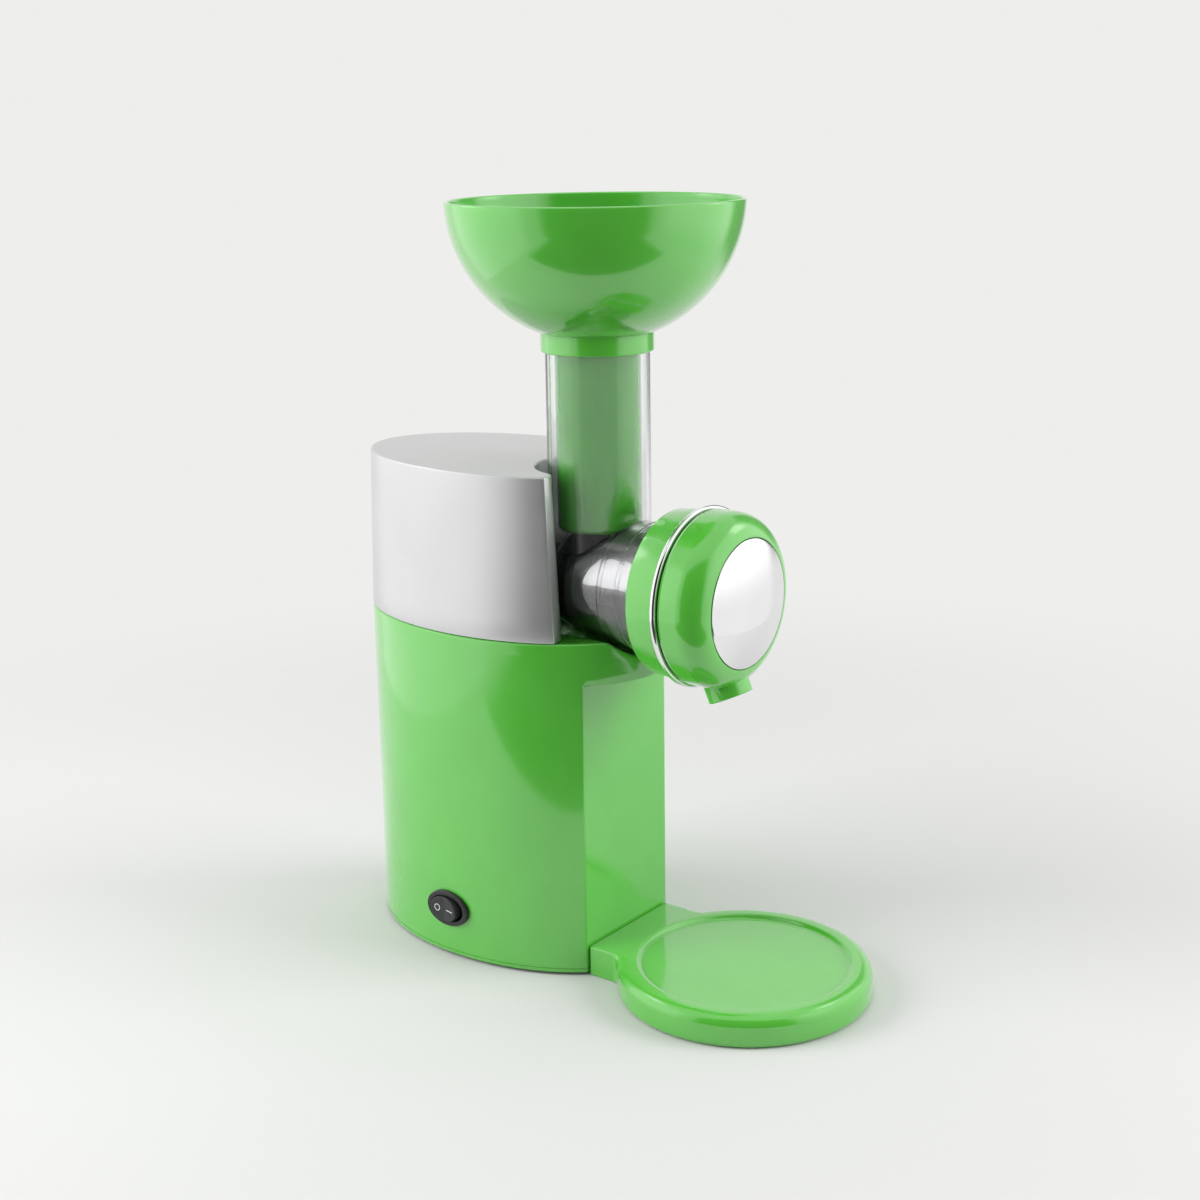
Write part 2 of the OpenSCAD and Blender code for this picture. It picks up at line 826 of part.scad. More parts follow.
ring_front = cap_back - gap - chrome_w;
ring_wall_t = flange_back - gap - ring_back;
spigot_out = cap_r - 4.7;
spigot_in = spigot_out - 2.4;
ring_bore = spigot_out + gap;
gasket_back = drum_mouth + 0.1;
gasket_front = gasket_back + 1.6;
spigot_back = gasket_front + gap;
front_t = 4.5;
flange_t = 1;
shoulder_mid = cap_front - shoulder_r;
dome_seat = cap_front - 2;
nozzle_y = body_y - nozzle_forward;

module lock_ring() {
  round_r = 1.5;
  color(green)
    turned(concat(
      [[drum_r_front + 0.5, ring_back]],
      arc(ring_r_back - round_r, ring_back + round_r, round_r, -90, 0, 5),
      [[ring_r_front, ring_front], [ring_bore, ring_front], [ring_bore, ring_back + ring_wall_t],
        [drum_r_front + 0.5, ring_back + ring_wall_t]]));
}

module chrome_ring() {
  edge = chrome_w / 2;
  color(chrome)
    turned(concat(
      [[ring_bore, ring_front]],
      arc(chrome_r - edge, ring_front + edge, edge, -90, 90, 10),
      [[ring_bore, ring_front + chrome_w]]));
}

module outlet_gasket() {
  color([0.92, 0.92, 0.90])
    turned([
      [drum_r_front - drum_wall + 0.5, gasket_back], [drum_flange_r, gasket_back],
      [drum_flange_r, gasket_front], [drum_r_front - drum_wall + 0.5, gasket_front]]);
}

module nozzle_bar(r, from, to) {
  translate([0, nozzle_y, nozzle_end])
    rotate([-nozzle_lean, 0, 0])
      translate([0, 0, from])
        cylinder(r = r, h = to - from, $fn = 96);
}

module front_cap() {
  in_r = cap_r - cap_wall;
  in_shoulder = shoulder_r - front_t;
  color(green)
    difference() {
      union() {
        turned(concat(
          [[0, spigot_back], [spigot_out, spigot_back], [spigot_out, cap_back], [cap_r - 0.8, cap_back],
            [cap_r, cap_back + 2], [cap_r, shoulder_mid]],
          arc(cap_r - shoulder_r, shoulder_mid, shoulder_r, 0, 90, 14),
          [[0, cap_front]]));
        intersection() {
          nozzle_bar(nozzle_r, 0, 20);
          block(-cap_r, cap_r, cap_back, cap_front + 10, 0, drum_z);
        }
      }
      turned(concat(
        [[0, spigot_back - over], [spigot_in, spigot_back - over], [spigot_in, cap_back + flange_t],
          [in_r, cap_back + flange_t], [in_r, shoulder_mid]],
        arc(in_r - in_shoulder, shoulder_mid, in_shoulder, 0, 90, 10),
        [[0, shoulder_mid + in_shoulder]]));
      intersection() {
        nozzle_bar(nozzle_r - nozzle_wall, -over, 20);
        block(-cap_r, cap_r, cap_back + flange_t, cap_front + 10, 0, drum_z);
      }
      bar(dome_r + gap, dome_seat, cap_front + over);
    }
}

module chrome_dome() {
  rise = dome_rise;
  sphere_r = (pow(dome_r, 2) + pow(rise, 2)) / (2 * rise);
  turn = asin(dome_r / sphere_r);
  color(chrome)
    turned(concat(
      [[0, dome_seat], [dome_r, dome_seat]],
      [for (i = [0:12]) let (t = turn * (1 - i / 12))
        [sphere_r * sin(t), cap_front + rise - sphere_r * (1 - cos(t))]]));
}

// Rotor: the black cone with its blades, on the hexagonal end of the output shaft

cone_front = ring_back - 1;
hex_r = 4.6;
hex_fit = 0.1;
nut_r = 7;
nut_t = 4;
thread_r = 2.5;
hub_front = 62;
hollow_wall = 2.5;
blade_back = 66;
blade_front = cone_front - 2;
blade_sink = 1.5;
tooth_len = 5;

function cone_r(forward) =
  cone_r_back + (cone_r_front - cone_r_back) * (forward - disc_front) / (cone_front - disc_front);

module hex_bar(r, from, to) {
  upright(from, to, drum_z)
    circle(r = r, $fn = 6);
}

module blade_set(t, sink) {
  teeth = floor((blade_front - blade_back) / tooth_len);
  for (i = [0:blades - 1])
    rotate_on_axis(45 + 360 * i / blades)
      translate([0, body_y, drum_z - t / 2])
        linear_extrude(t)
          polygon(concat(
            [[cone_r(blade_back) - sink, -blade_back]],
            [for (k = [0:teeth - 1], part = [0, 1])
              let (f = blade_back + (k + part * 0.6) * (blade_front - blade_back) / teeth)
                [cone_r(f) + blade_proud * (part == 0 ? 0.45 : 1), -f]],
            [[cone_r(blade_front) + 0.6, -blade_front], [cone_r(blade_front) - sink, -blade_front]]));
}

module rotor_cone() {
  color(black)
    difference() {
      turned([
        [0, disc_back], [disc_r - 1.5, disc_back], [disc_r, disc_back + 3], [disc_r, disc_front],
        [cone_r_back, disc_front],
        [cone_r_front, cone_front], [0, cone_front]]);
      turned([
        [0, hub_front], [nut_r + 1, hub_front], [cone_r(hub_front + 8) - hollow_wall - 1, hub_front + 8],
        [cone_r_front - hollow_wall, cone_front + over], [0, cone_front + over]]);
      hex_bar(hex_r + hex_fit, disc_back - over, hub_front + over);
      blade_set(blade_t + 0.1, blade_sink + 0.05);
    }
}

module cone_blades() {
  color(steel)
    blade_set(blade_t, blade_sink);
}

module rotor_nut() {
  color(steel)
    difference() {
      hex_bar(nut_r, hub_front, hub_front + nut_t);
      bar(thread_r + 0.02, hub_front - over, hub_front + nut_t + over);
    }
}

module output_shaft() {
  color(steel) {
    bar(shaft_r, shaft_back, disc_back - 0.5);
    hex_bar(hex_r, disc_back - 0.5, hub_front);
    bar(thread_r, hub_front - over, hub_front + nut_t + 1);
  }
}

module bush(r, bore, from, to, z = drum_z) {
  difference() {
    bar(r, from, to, z);
    bar(bore, from - over, to + over, z);
  }
}

module output_bushes() {
  color(brass) {
    bush(bush_r - 0.02, shaft_r + run_fit, bush_back, bush_front);
    bush(bush_r - 0.02, shaft_r + run_fit, lid_back - 4, case_back);
  }
}

module shaft_seal() {
  color(black)
    bush(seal_r - 0.02, shaft_r + run_fit, bush_front + 0.05, collar_front + 0.3);
}

// Gears

addendum = 0.75 * gear_m;
dedendum = 1.1 * gear_m;
backlash = 0.2;
pressure = 20;
idler_pin_r = 3;

function involute_turn(r, base) = let (a = acos(min(1, base / r))) tan(a) * 180 / PI - a;
function gear_outline(teeth) =
  let (
    pitch = gear_m * teeth / 2,
    base = pitch * cos(pressure),
    tip = pitch + addendum,
    root = pitch - dedendum,
    low = max(root + 0.1, base),
    half = 90 / teeth - backlash / pitch * 90 / PI + involute_turn(pitch, base),
    rise = [for (k = [0:3]) let (r = low + (tip - low) * k / 3) [r, half - involute_turn(r, base)]],
    flank = concat([[root, rise[0][1]]], rise))
    [for (i = [0:teeth - 1]) each concat(
      [for (p = flank) p[0] * [cos(i * 360 / teeth - p[1]), sin(i * 360 / teeth - p[1])]],
      [for (p = reversed(flank)) p[0] * [cos(i * 360 / teeth + p[1]), sin(i * 360 / teeth + p[1])]])];

module gear(teeth, start, from, to, z) {
  upright(from, to, z)
    rotate(start)
      polygon(gear_outline(teeth));
}

module output_wheel() {
  color(cream)
    difference() {
      union() {
        gear(output_teeth, -90 + 180 / output_teeth, output_back, output_front, drum_z);
        bar(9, output_back - 1, output_front + 0.8);
      }
      bar(shaft_r + 0.02, output_back - 2, output_front + 2);
    }
}

module idler_gear() {
  color(cream)
    difference() {
      union() {
        gear(wheel_teeth, -90 + 180 / wheel_teeth, wheel_back, wheel_front, idler_z);
        gear(second_teeth, 90, output_back - 0.5, wheel_back + 0.5, idler_z);
      }
      bar(idler_pin_r + run_fit, output_back - 2, wheel_front + 2, idler_z);
    }
}

module idler_pin() {
  color(steel)
    bar(idler_pin_r, lid_back, case_front, idler_z);
}

module motor_pinion() {
  color(brass)
    difference() {
      gear(pinion_teeth, 90, wheel_back - 0.5, wheel_front + 0.5, motor_z);
      bar(motor_shaft_r + 0.02, wheel_back - 2, wheel_front + 2, motor_z);
    }
}

// Gear case and lid

case_wall = 2.5;
ear_out = 23.6;
ear_r = 4.6;
low_ear_x = case_half_w - 4.5;
low_ear_z = case_low + 4.5;
boss_r = 11;
motor_boss_front = case_front + 3;
motor_bush_r = 5.5;
bolt_out = 20.7;
bolt_r = 1.5;
spacer_r = 3.2;
foot_block_h = 10;
case_foot_x = 14;
case_foot_forward = (case_in + case_back) / 2;

module case_outline(shrink) {
  translate([-case_half_w + shrink, case_low - drum_z + shrink])
    square([2 * (case_half_w - shrink), drum_z - case_low - shrink]);
  circle(r = case_half_w - shrink, $fn = 96);
}

module ears(r) {
  for (sx = sides)
    translate([sx * ear_out, ear_out])
      circle(r = r, $fn = 32);
}

module at_lid_screws() {
  for (sx = sides) {
    translate([sx * ear_out, 0, drum_z + ear_out])
      children();
    translate([sx * low_ear_x, 0, low_ear_z])
      children();
  }
}

module at_motor_bolts() {
  for (sx = sides, sz = sides)
    translate([sx * bolt_out, 0, motor_z + sz * bolt_out])
      children();
}

module gear_case() {
  color(steel)
    difference() {
      union() {
        upright(case_in, case_front, drum_z) {
          case_outline(0);
          ears(ear_r);
        }
        upright(case_back, case_in + 0.01, drum_z) {
          difference() {
            case_outline(0);
            case_outline(case_wall);
          }
          difference() {
            ears(ear_r);
            circle(r = case_half_w - case_wall, $fn = 96);
          }
        }
        block(-case_half_w, case_half_w, case_back, case_in, case_low, case_low + foot_block_h);
        bar(boss_r, case_front, collar_flange_back);
        bar(collar_lug_r, case_flange_back, collar_flange_back);
        bar(8, case_front, motor_boss_front, motor_z);
        at_motor_bolts()
          bar(spacer_r, case_front, stack_back, 0);
      }
      bar(shaft_r + 1, case_in - over, collar_flange_back + over);
      bar(motor_bush_r, case_in - over, motor_boss_front + over, motor_z);
      bar(idler_pin_r + 0.02, case_in - over, case_front + over, idler_z);
      at_motor_bolts()
        bar(bolt_r + 0.05, case_in - over, stack_back + over, 0);
      at_lid_screws()
        bar(screw_hole, case_back - over, case_back + 10, 0);
      for (i = [0:3])
        rotate_on_axis(45 + 90 * i)
          bar(screw_clear, case_flange_back - over, collar_flange_back + over, drum_z, collar_screw_r);
      for (sx = sides)
        translate([sx * case_foot_x, body_y - case_foot_forward, case_low - over])
          cylinder(r = screw_hole, h = foot_block_h, $fn = 32);
    }
}

module gear_lid() {
  color(steel)
    difference() {
      union() {
        upright(lid_back, case_back, drum_z) {
          case_outline(0);
          ears(ear_r);
        }
        bar(10, lid_back - 6, lid_back);
      }
      bar(bush_r, lid_back - 5, case_back + over);
      bar(idler_pin_r + 0.02, lid_back - over, case_back + over, idler_z);
      at_lid_screws()
        bar(screw_clear, lid_back - over, case_back + over, 0);
    }
}

module lid_screws() {
  color(steel)
    at_lid_screws() {
      bar(head_r, lid_back - head_t, lid_back, 0);
      bar(screw_r, lid_back - head_t, case_back + 8, 0);
    }
}

// Motor

shaft_front = 60;
fan_back = motor_boss_front + 0.5;
fan_front = fan_back + 3.9;
winding_back = fan_front + 0.8;
winding_front = stack_front + 6;
commutator_back = winding_front + 1;
commutator_front = commutator_back + 10;
commutator_r = 8.5;
slots = 12;
slot_w = 3;
slot_depth = 6;
bracket_back = commutator_front + 1.5;
bracket_front = bracket_back + 4;
brush_back = commutator_back + 2;
brush_front = brush_back + 6;
field_bore = armature_r + air_gap;
window_in = field_bore + 1.2;
window_out = 24.5;
window_turn = 32;

module on_shaft(r, from, to) {
  difference() {
    bar(r, from, to, motor_z);
    bar(motor_shaft_r + 0.02, from - over, to + over, motor_z);
  }
}

module sector(r_in, r_out, from_turn, to_turn, steps) {
  polygon(concat(arc(0, 0, r_out, from_turn, to_turn, steps), arc(0, 0, r_in, to_turn, from_turn, steps)));
}

module motor_shaft() {
  color(steel)
    bar(motor_shaft_r, wheel_back - 1, shaft_front, motor_z);
}

module slot_shapes(width, from_r, to_r) {
  for (i = [0:slots - 1])
    rotate(i * 360 / slots)
      translate([from_r, -width / 2])
        square([to_r - from_r, width]);
}

module armature_stack() {
  color(steel)
    upright(stack_back, stack_front, motor_z)
      difference() {
        circle(r = armature_r, $fn = 96);
        circle(r = motor_shaft_r + 0.02, $fn = 48);
        slot_shapes(slot_w, armature_r - slot_depth, armature_r - 0.8);
        slot_shapes(1.2, armature_r - 2, armature_r + 1);
      }
}

module armature_winding() {
  in_r = armature_r - slot_depth + 0.1;
  out_r = armature_r - 0.9;
  color(copper) {
    upright(winding_back, winding_front, motor_z)
      slot_shapes(slot_w - 0.2, in_r, out_r);
    for (end = [[winding_back, stack_back - gap], [stack_front + gap, winding_front]])
      upright(end[0], end[1], motor_z)
        difference() {
          circle(r = out_r - 0.5, $fn = 72);
          circle(r = motor_shaft_r + 2, $fn = 48);
        }
  }
}

module commutator() {
  color(copper)
    upright(commutator_back, commutator_front, motor_z)
      difference() {
        circle(r = commutator_r, $fn = 72);
        circle(r = motor_shaft_r + 0.02, $fn = 48);
        slot_shapes(0.5, commutator_r - 1, commutator_r + 1);
      }
}

module cooling_fan() {
  fan_r = 19;
  color(cream) {
    on_shaft(fan_r, fan_back, fan_back + 1.2);
    on_shaft(6, fan_back + 1, fan_front);
    upright(fan_back + 1, fan_front, motor_z)
      for (i = [0:8])
        rotate(i * 40)
          translate([5.5, -0.6])
            square([fan_r - 6, 1.2]);
  }
}

module field_stack() {
  color(steel)
    upright(stack_back, stack_front, motor_z)
      difference() {
        intersection() {
          square(2 * field_half_w, center = true);
          circle(r = 33, $fn = 96);
        }
        circle(r = field_bore, $fn = 96);
        for (i = [0:3])
          sector(window_in, window_out, 45 + 90 * i - window_turn / 2, 45 + 90 * i + window_turn / 2, 8);
        for (sx = sides, sz = sides)
          translate([sx * bolt_out, sz * bolt_out])
            circle(r = bolt_r + 0.05, $fn = 32);
      }
}

module field_coils() {
  coil_in = window_in + 0.4;
  coil_out = window_out - 0.4;
  half = window_turn / 2 - 1.5;
  end_t = 3.8;
  color(copper) {
    upright(stack_back - end_t, stack_front + end_t, motor_z)
      for (i = [0:3])
        sector(coil_in, coil_out, 45 + 90 * i - half, 45 + 90 * i + half, 8);
    for (end = [stack_back - end_t, stack_front + gap])
      upright(end, end + end_t - gap, motor_z)
        for (start = [0, 180])
          sector(coil_in, coil_out, start - 45 - half, start + 45 + half, 24);
  }
}

module end_bracket() {
  color(steel)
    difference() {
      union() {
        block(-field_half_w, field_half_w, bracket_back, bracket_front, case_low, motor_z + field_half_w);
        block(-field_half_w, field_half_w, brush_back + 4, bracket_front, case_low, case_low + foot_block_h);
        at_motor_bolts()
          bar(spacer_r, stack_front, bracket_back, 0);
        for (sx = sides)
          block(sx * 18 - 6, sx * 18 + 6, brush_front, bracket_back, motor_z - 5, motor_z + 5);
      }
      bar(motor_bush_r, bracket_back - over, bracket_front + over, motor_z);
      at_motor_bolts()
        bar(bolt_r + 0.05, stack_front - over, bracket_front + over, 0);
      at_feet(case_low - over, [bracket_foot_forward])
        cylinder(r = screw_hole, h = foot_block_h, $fn = 32);
    }
}

module motor_bushes() {
  color(brass) {
    bush(motor_bush_r - 0.02, motor_shaft_r + run_fit, case_in, motor_boss_front, motor_z);
    bush(motor_bush_r - 0.02, motor_shaft_r + run_fit, bracket_back - 0.5, bracket_front, motor_z);
  }
}

holder_in = commutator_r + 1;
holder_out = 26;
holder_half_h = 4;
brush_half_h = 2.7;
brush_len = 9;

module brush_holders() {
  color(brass)
    for (sx = sides)
      translate([sx * (holder_in + holder_out) / 2, 0, 0])
        difference() {
          block((holder_in - holder_out) / 2, (holder_out - holder_in) / 2, brush_back, brush_front,
            motor_z - holder_half_h, motor_z + holder_half_h);
          block(-holder_out, holder_out, brush_back + 1, brush_front - 1,
            motor_z - holder_half_h + 1, motor_z + holder_half_h - 1);
        }
}

module carbon_brushes() {
  color(black)
    for (sx = sides)
      translate([sx * (commutator_r + gap + brush_len / 2), 0, 0])
        block(-brush_len / 2, brush_len / 2, brush_back + 1.2, brush_front - 1.2,
          motor_z - brush_half_h, motor_z + brush_half_h);
}

module motor_bolts() {
  color(steel)
    at_motor_bolts() {
      bar(bolt_r, case_in + 1, bracket_front + head_t, 0);
      bar(head_r, bracket_front, bracket_front + head_t, 0);
    }
}

// Carrier that holds the motor and the gear case

shelf_t = 3;
shelf_half_w = 38;
bracket_foot_forward = (brush_back + 4 + bracket_front) / 2;

module at_feet(z, forwards) {
  for (sx = sides, forward = forwards)
    translate([sx * case_foot_x, body_y - forward, z])
      children();
}

module motor_carrier() {
  color(steel)
    difference() {
      union() {
        block(-shelf_half_w, shelf_half_w, lid_back - 2, bracket_front + 3, case_low - shelf_t, case_low);
        at_legs(base_top)
          linear_extrude(case_low - shelf_t - base_top)
            square(leg_w, center = true);
      }
      at_legs(base_top - over)
        cylinder(r = screw_hole, h = 10 + over, $fn = 32);
      at_feet(case_low - shelf_t - over, [case_foot_forward, bracket_foot_forward])
        cylinder(r = screw_clear, h = shelf_t + 2 * over, $fn = 32);
    }
}

module carrier_screws() {
  color(steel) {
    at_legs(foot_h)
      screw(10);
    at_feet(case_low - shelf_t - head_t, [case_foot_forward, bracket_foot_forward])
      screw(10);
  }
}

// Switch, terminals and cord inlet

bezel_out_x = half_w_at(switch_behind, 0) + bezel_proud;
rocker_half_len = 9.6;
rocker_half_h = 6.7;
opening_half_len = rocker_half_len + 1.6;
opening_half_h = rocker_half_h + 0.5;
rocker_pin_x = 54.5;
rocker_pin_r = 1;
switch_floor_x = 50;
switch_back_x = 42;
terminal_len = 8;
terminal_apart = 6;

module switch_body() {
  color(black)
    difference() {
      union() {
        oval_prism(bezel_len / 2, bezel_h / 2, -bezel_out_x, -bezel_seat_x);
        oval_prism(switch_hole_len / 2 - 0.2, switch_hole_h / 2 - 0.2, -bezel_seat_x - 0.5, -switch_back_x);
      }
      oval_prism(opening_half_len, opening_half_h, -bezel_out_x - over, -switch_floor_x);
      translate([-rocker_pin_x, switch_y, switch_z - bezel_h])
        cylinder(r = rocker_pin_r + 0.02, h = 2 * bezel_h, $fn = 32);
    }
}

module switch_rocker() {
  reach = bezel_out_x - rocker_pin_x + 2.2;
  dip = rocker_half_len * tan(rocker_turn / 2);
  color(black)
    translate([-rocker_pin_x, switch_y, switch_z])
      rotate([0, 0, -rocker_turn / 2])
        difference() {
          intersection() {
            translate([-reach, 0, 0])
              rotate([90, 0, 90])
                linear_extrude(reach + 2.5)
                  polygon(ellipse(rocker_half_len, rocker_half_h, 48));
            translate([0, 0, -rocker_half_h])
              linear_extrude(2 * rocker_half_h)
                polygon([
                  [2.5, -rocker_half_len], [2.5, rocker_half_len], [-reach, rocker_half_len],
                  [dip - reach, 0], [-reach, -rocker_half_len]]);
          }
          translate([0, 0, -bezel_h])
            cylinder(r = rocker_pin_r + 0.05, h = 2 * bezel_h, $fn = 32);
        }
}

module rocker_pin() {
  color(steel)
    translate([-rocker_pin_x, switch_y, switch_z - opening_half_h - 0.7])
      cylinder(r = rocker_pin_r, h = 2 * (opening_half_h + 0.7), $fn = 32);
}

module switch_terminals() {
  color(brass)
    for (along = [-terminal_apart, terminal_apart])
      translate([-switch_back_x, switch_y + along - 0.4, switch_z - 2.4])
        cube([terminal_len, 0.8, 4.8]);
}

module cord_inlet() {
  outer_end = -body_half_len - inlet_proud;
  inner_face = wall + 0.9 - body_half_len;
  color(black)
    turned([
      [inlet_r, outer_end], [inlet_flange_r - 1, outer_end], [inlet_flange_r, outer_end + 1],
      [inlet_flange_r, -inlet_seat], [inlet_neck_r, -inlet_seat], [inlet_neck_r, inner_face],
      [inlet_flange_r, inner_face], [inlet_flange_r, inner_face + 2], [inlet_r, inner_face + 2]],
      inlet_z);
}

// Cord clamp, terminal block and lead wires

clamp_forward = -76;
clamp_half_w = 10;
clamp_h = 8;
clamp_screw_x = 6.5;
clamp_screw_sink = 2;
clamp_groove_r = 3.2;
terminal_back = -62;
terminal_front = -51;
terminal_half_w = 13;
terminal_h = 10;
wire_r = 1;

module cord_clamp() {
  color(cream)
    difference() {
      block(-clamp_half_w, clamp_half_w, clamp_forward - 4, clamp_forward + 4, base_top, base_top + clamp_h);
      bar(clamp_groove_r, clamp_forward - 5, clamp_forward + 5, base_top + 2.4);
      for (sx = sides)
        translate([sx * clamp_screw_x, body_y - clamp_forward, base_top - over])
          cylinder(r = screw_clear, h = clamp_h + 2 * over, $fn = 32);
    }
}

module clamp_screws() {
  color(steel)
    for (sx = sides)
      translate([sx * clamp_screw_x, body_y - clamp_forward, base_top + clamp_h + head_t])
        rotate([180, 0, 0])
          screw(clamp_h + clamp_screw_sink - 0.2);
}

module terminal_block() {
  color(cream)
    difference() {
      block(-terminal_half_w, terminal_half_w, terminal_back, terminal_front, base_top,
        base_top + terminal_h);
      for (i = [-1:1]) {
        translate([i * 8, body_y - (terminal_back + terminal_front) / 2, base_top + 5])
          cylinder(r = 2, h = terminal_h, $fn = 32);
        bar(wire_r + 0.3, terminal_back - over, terminal_front + over, base_top + 5, i * 8);
      }
    }
}

// An eight-sided wire through points given as [across, distance forward, height]
function unit(v) = v / norm(v);
function wire_ring(p, d) =
  let (u = unit(cross(d, [1, -1, -1])), v = cross(d, u))
    [for (k = [0:7]) p + wire_r * (cos(45 * k) * u + sin(45 * k) * v)];

module wire(points) {
  at = [for (p = points) [p[0], body_y - p[1], p[2]]];
  last = len(at) - 1;
  rings = [for (i = [0:last]) each wire_ring(at[i], unit(
    unit(at[min(i + 1, last)] - at[min(i, last - 1)]) + unit(at[max(i, 1)] - at[max(i - 1, 0)])))];
  polyhedron(rings, concat(
    [for (i = [0:last - 1], k = [0:7]) let (a = 8 * i + k, b = 8 * i + (k + 1) % 8)
      each quad(a, a + 8, b + 8, b)],
    [for (k = [1:6]) [0, k, k + 1]],
    [for (k = [1:6]) [8 * last, 8 * last + k + 1, 8 * last + k]]));
}

module lead_wires() {
  lead = 4;
  inlet = terminal_front + gap;
  tip = -switch_back_x + terminal_len + gap;
  brush_tip = holder_out + gap;
  brush_mid = (brush_back + brush_front) / 2;
  color(black) {
    wire([[8, inlet, base_top + 5], [8, inlet + lead, base_top + 5], [40, -38, 14], [44, 0, 40],
      [44, brush_mid, 125], [brush_tip, brush_mid, motor_z]]);
    wire([[-8, inlet, base_top + 5], [-8, inlet + lead, base_top + 5], [-36, -34, 22],
      [tip + lead, -switch_behind - terminal_apart, switch_z],
      [tip, -switch_behind - terminal_apart, switch_z]]);
    wire([[tip, terminal_apart - switch_behind, switch_z],
      [tip + lead, terminal_apart - switch_behind, switch_z], [-33, 14, 60], [-44, brush_mid, 125],
      [-brush_tip, brush_mid, motor_z]]);
  }
}

base_housing();
bottom_cover();
rubber_feet();
base_screws();
cup_plate();
plate_screws();
upper_cover();
drum_collar();
collar_screws();
chute();
liner_seat();
steel_liner();
plunger_bowl();
plunger_stem();
plunger_tip();
lock_ring();
chrome_ring();
outlet_gasket();
front_cap();
chrome_dome();
rotor_cone();
cone_blades();
rotor_nut();
output_shaft();
output_bushes();
shaft_seal();
output_wheel();
idler_gear();
idler_pin();
gear_case();
gear_lid();
lid_screws();
motor_pinion();
motor_shaft();
armature_stack();
armature_winding();
commutator();
cooling_fan();
field_stack();
field_coils();
end_bracket();
motor_bushes();
brush_holders();
carbon_brushes();
motor_bolts();
motor_carrier();
carrier_screws();
switch_body();
switch_rocker();
rocker_pin();
switch_terminals();
cord_inlet();
cord_clamp();
clamp_screws();
terminal_block();
lead_wires();
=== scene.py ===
import json
import math

import bmesh
import bpy
import numpy as np
from mathutils import Matrix


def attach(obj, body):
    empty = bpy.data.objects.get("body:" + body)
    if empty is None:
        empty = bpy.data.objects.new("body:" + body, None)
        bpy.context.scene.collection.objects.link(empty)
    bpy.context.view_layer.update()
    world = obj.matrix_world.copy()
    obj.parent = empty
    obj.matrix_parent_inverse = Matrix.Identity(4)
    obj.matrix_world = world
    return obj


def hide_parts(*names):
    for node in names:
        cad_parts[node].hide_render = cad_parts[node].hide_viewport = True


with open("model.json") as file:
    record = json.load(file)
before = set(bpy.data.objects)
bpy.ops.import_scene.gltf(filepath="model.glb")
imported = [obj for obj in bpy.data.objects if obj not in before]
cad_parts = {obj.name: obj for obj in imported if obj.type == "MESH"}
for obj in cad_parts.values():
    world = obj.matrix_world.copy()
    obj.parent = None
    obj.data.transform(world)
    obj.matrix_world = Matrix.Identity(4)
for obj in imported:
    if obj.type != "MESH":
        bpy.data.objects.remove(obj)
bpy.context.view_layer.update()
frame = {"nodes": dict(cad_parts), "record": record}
nodes = frame["nodes"]
print("frame loaded,", len(nodes), "CAD nodes")

# Lengths are in mm until a mesh is made. Forward runs from the middle of the body towards -Y.
layout = {"bodyMiddle": 59.95, "drumHeight": 206.8, "tubeForward": 57.7, "plateForward": 147.5}
tubeY = layout["bodyMiddle"] - layout["tubeForward"]
plateY = layout["bodyMiddle"] - layout["plateForward"]


# node helpers

def addNode(tree, kind, inputs=None, **settings):
    # an input, by its name or number, takes a value or another node's output
    node = tree.nodes.new(kind)
    for name, value in settings.items():
        setattr(node, name, value)
    for name, value in (inputs or {}).items():
        if isinstance(value, bpy.types.NodeSocket):
            tree.links.new(value, node.inputs[name])
        else:
            node.inputs[name].default_value = value
    return node


def join(tree, *pairs):
    for source, target in pairs:
        tree.links.new(source, target)


def newGroup(name, inputs, outputs):
    # every group has a Vector; the other inputs are {name: usual value}, and the outputs are numbers
    group = bpy.data.node_groups.new(name, "ShaderNodeTree")
    group.interface.new_socket(name="Vector", in_out="INPUT", socket_type="NodeSocketVector")
    for label, value in inputs.items():
        kind = "NodeSocketFloat" if isinstance(value, float) else "NodeSocketVector"
        group.interface.new_socket(name=label, in_out="INPUT", socket_type=kind).default_value = value
    for label in outputs:
        group.interface.new_socket(name=label, in_out="OUTPUT", socket_type="NodeSocketFloat")
    return group, addNode(group, "NodeGroupInput").outputs, addNode(group, "NodeGroupOutput").inputs


def placeGroup(tree, group, place, inputs):
    return addNode(tree, "ShaderNodeGroup", {"Vector": place, **inputs}, node_tree=group).outputs


def noise(tree, place, scale, detail, roughness=0.5, distortion=0.0):
    return addNode(tree, "ShaderNodeTexNoise", {
        "Vector": place, "Scale": scale, "Detail": detail, "Roughness": roughness,
        "Distortion": distortion}).outputs["Fac"]


def calculate(tree, operation, *values, **settings):
    # the values or outputs fill the inputs in turn
    return addNode(tree, "ShaderNodeMath", dict(enumerate(values)), operation=operation,
                   **settings).outputs["Value"]


def rangeOf(tree, value, low=0.0, high=1.0, fromLow=0.3, fromHigh=0.7, **settings):
    return addNode(tree, "ShaderNodeMapRange", {
        "Value": value, "From Min": fromLow, "From Max": fromHigh, "To Min": low, "To Max": high},
        **settings).outputs["Result"]


def mixColours(tree, share, first, second):
    first, second = ((*colour, 1.0) if isinstance(colour, tuple) else colour for colour in (first, second))
    return addNode(tree, "ShaderNodeMix", {0: share, 6: first, 7: second}, data_type="RGBA").outputs[2]


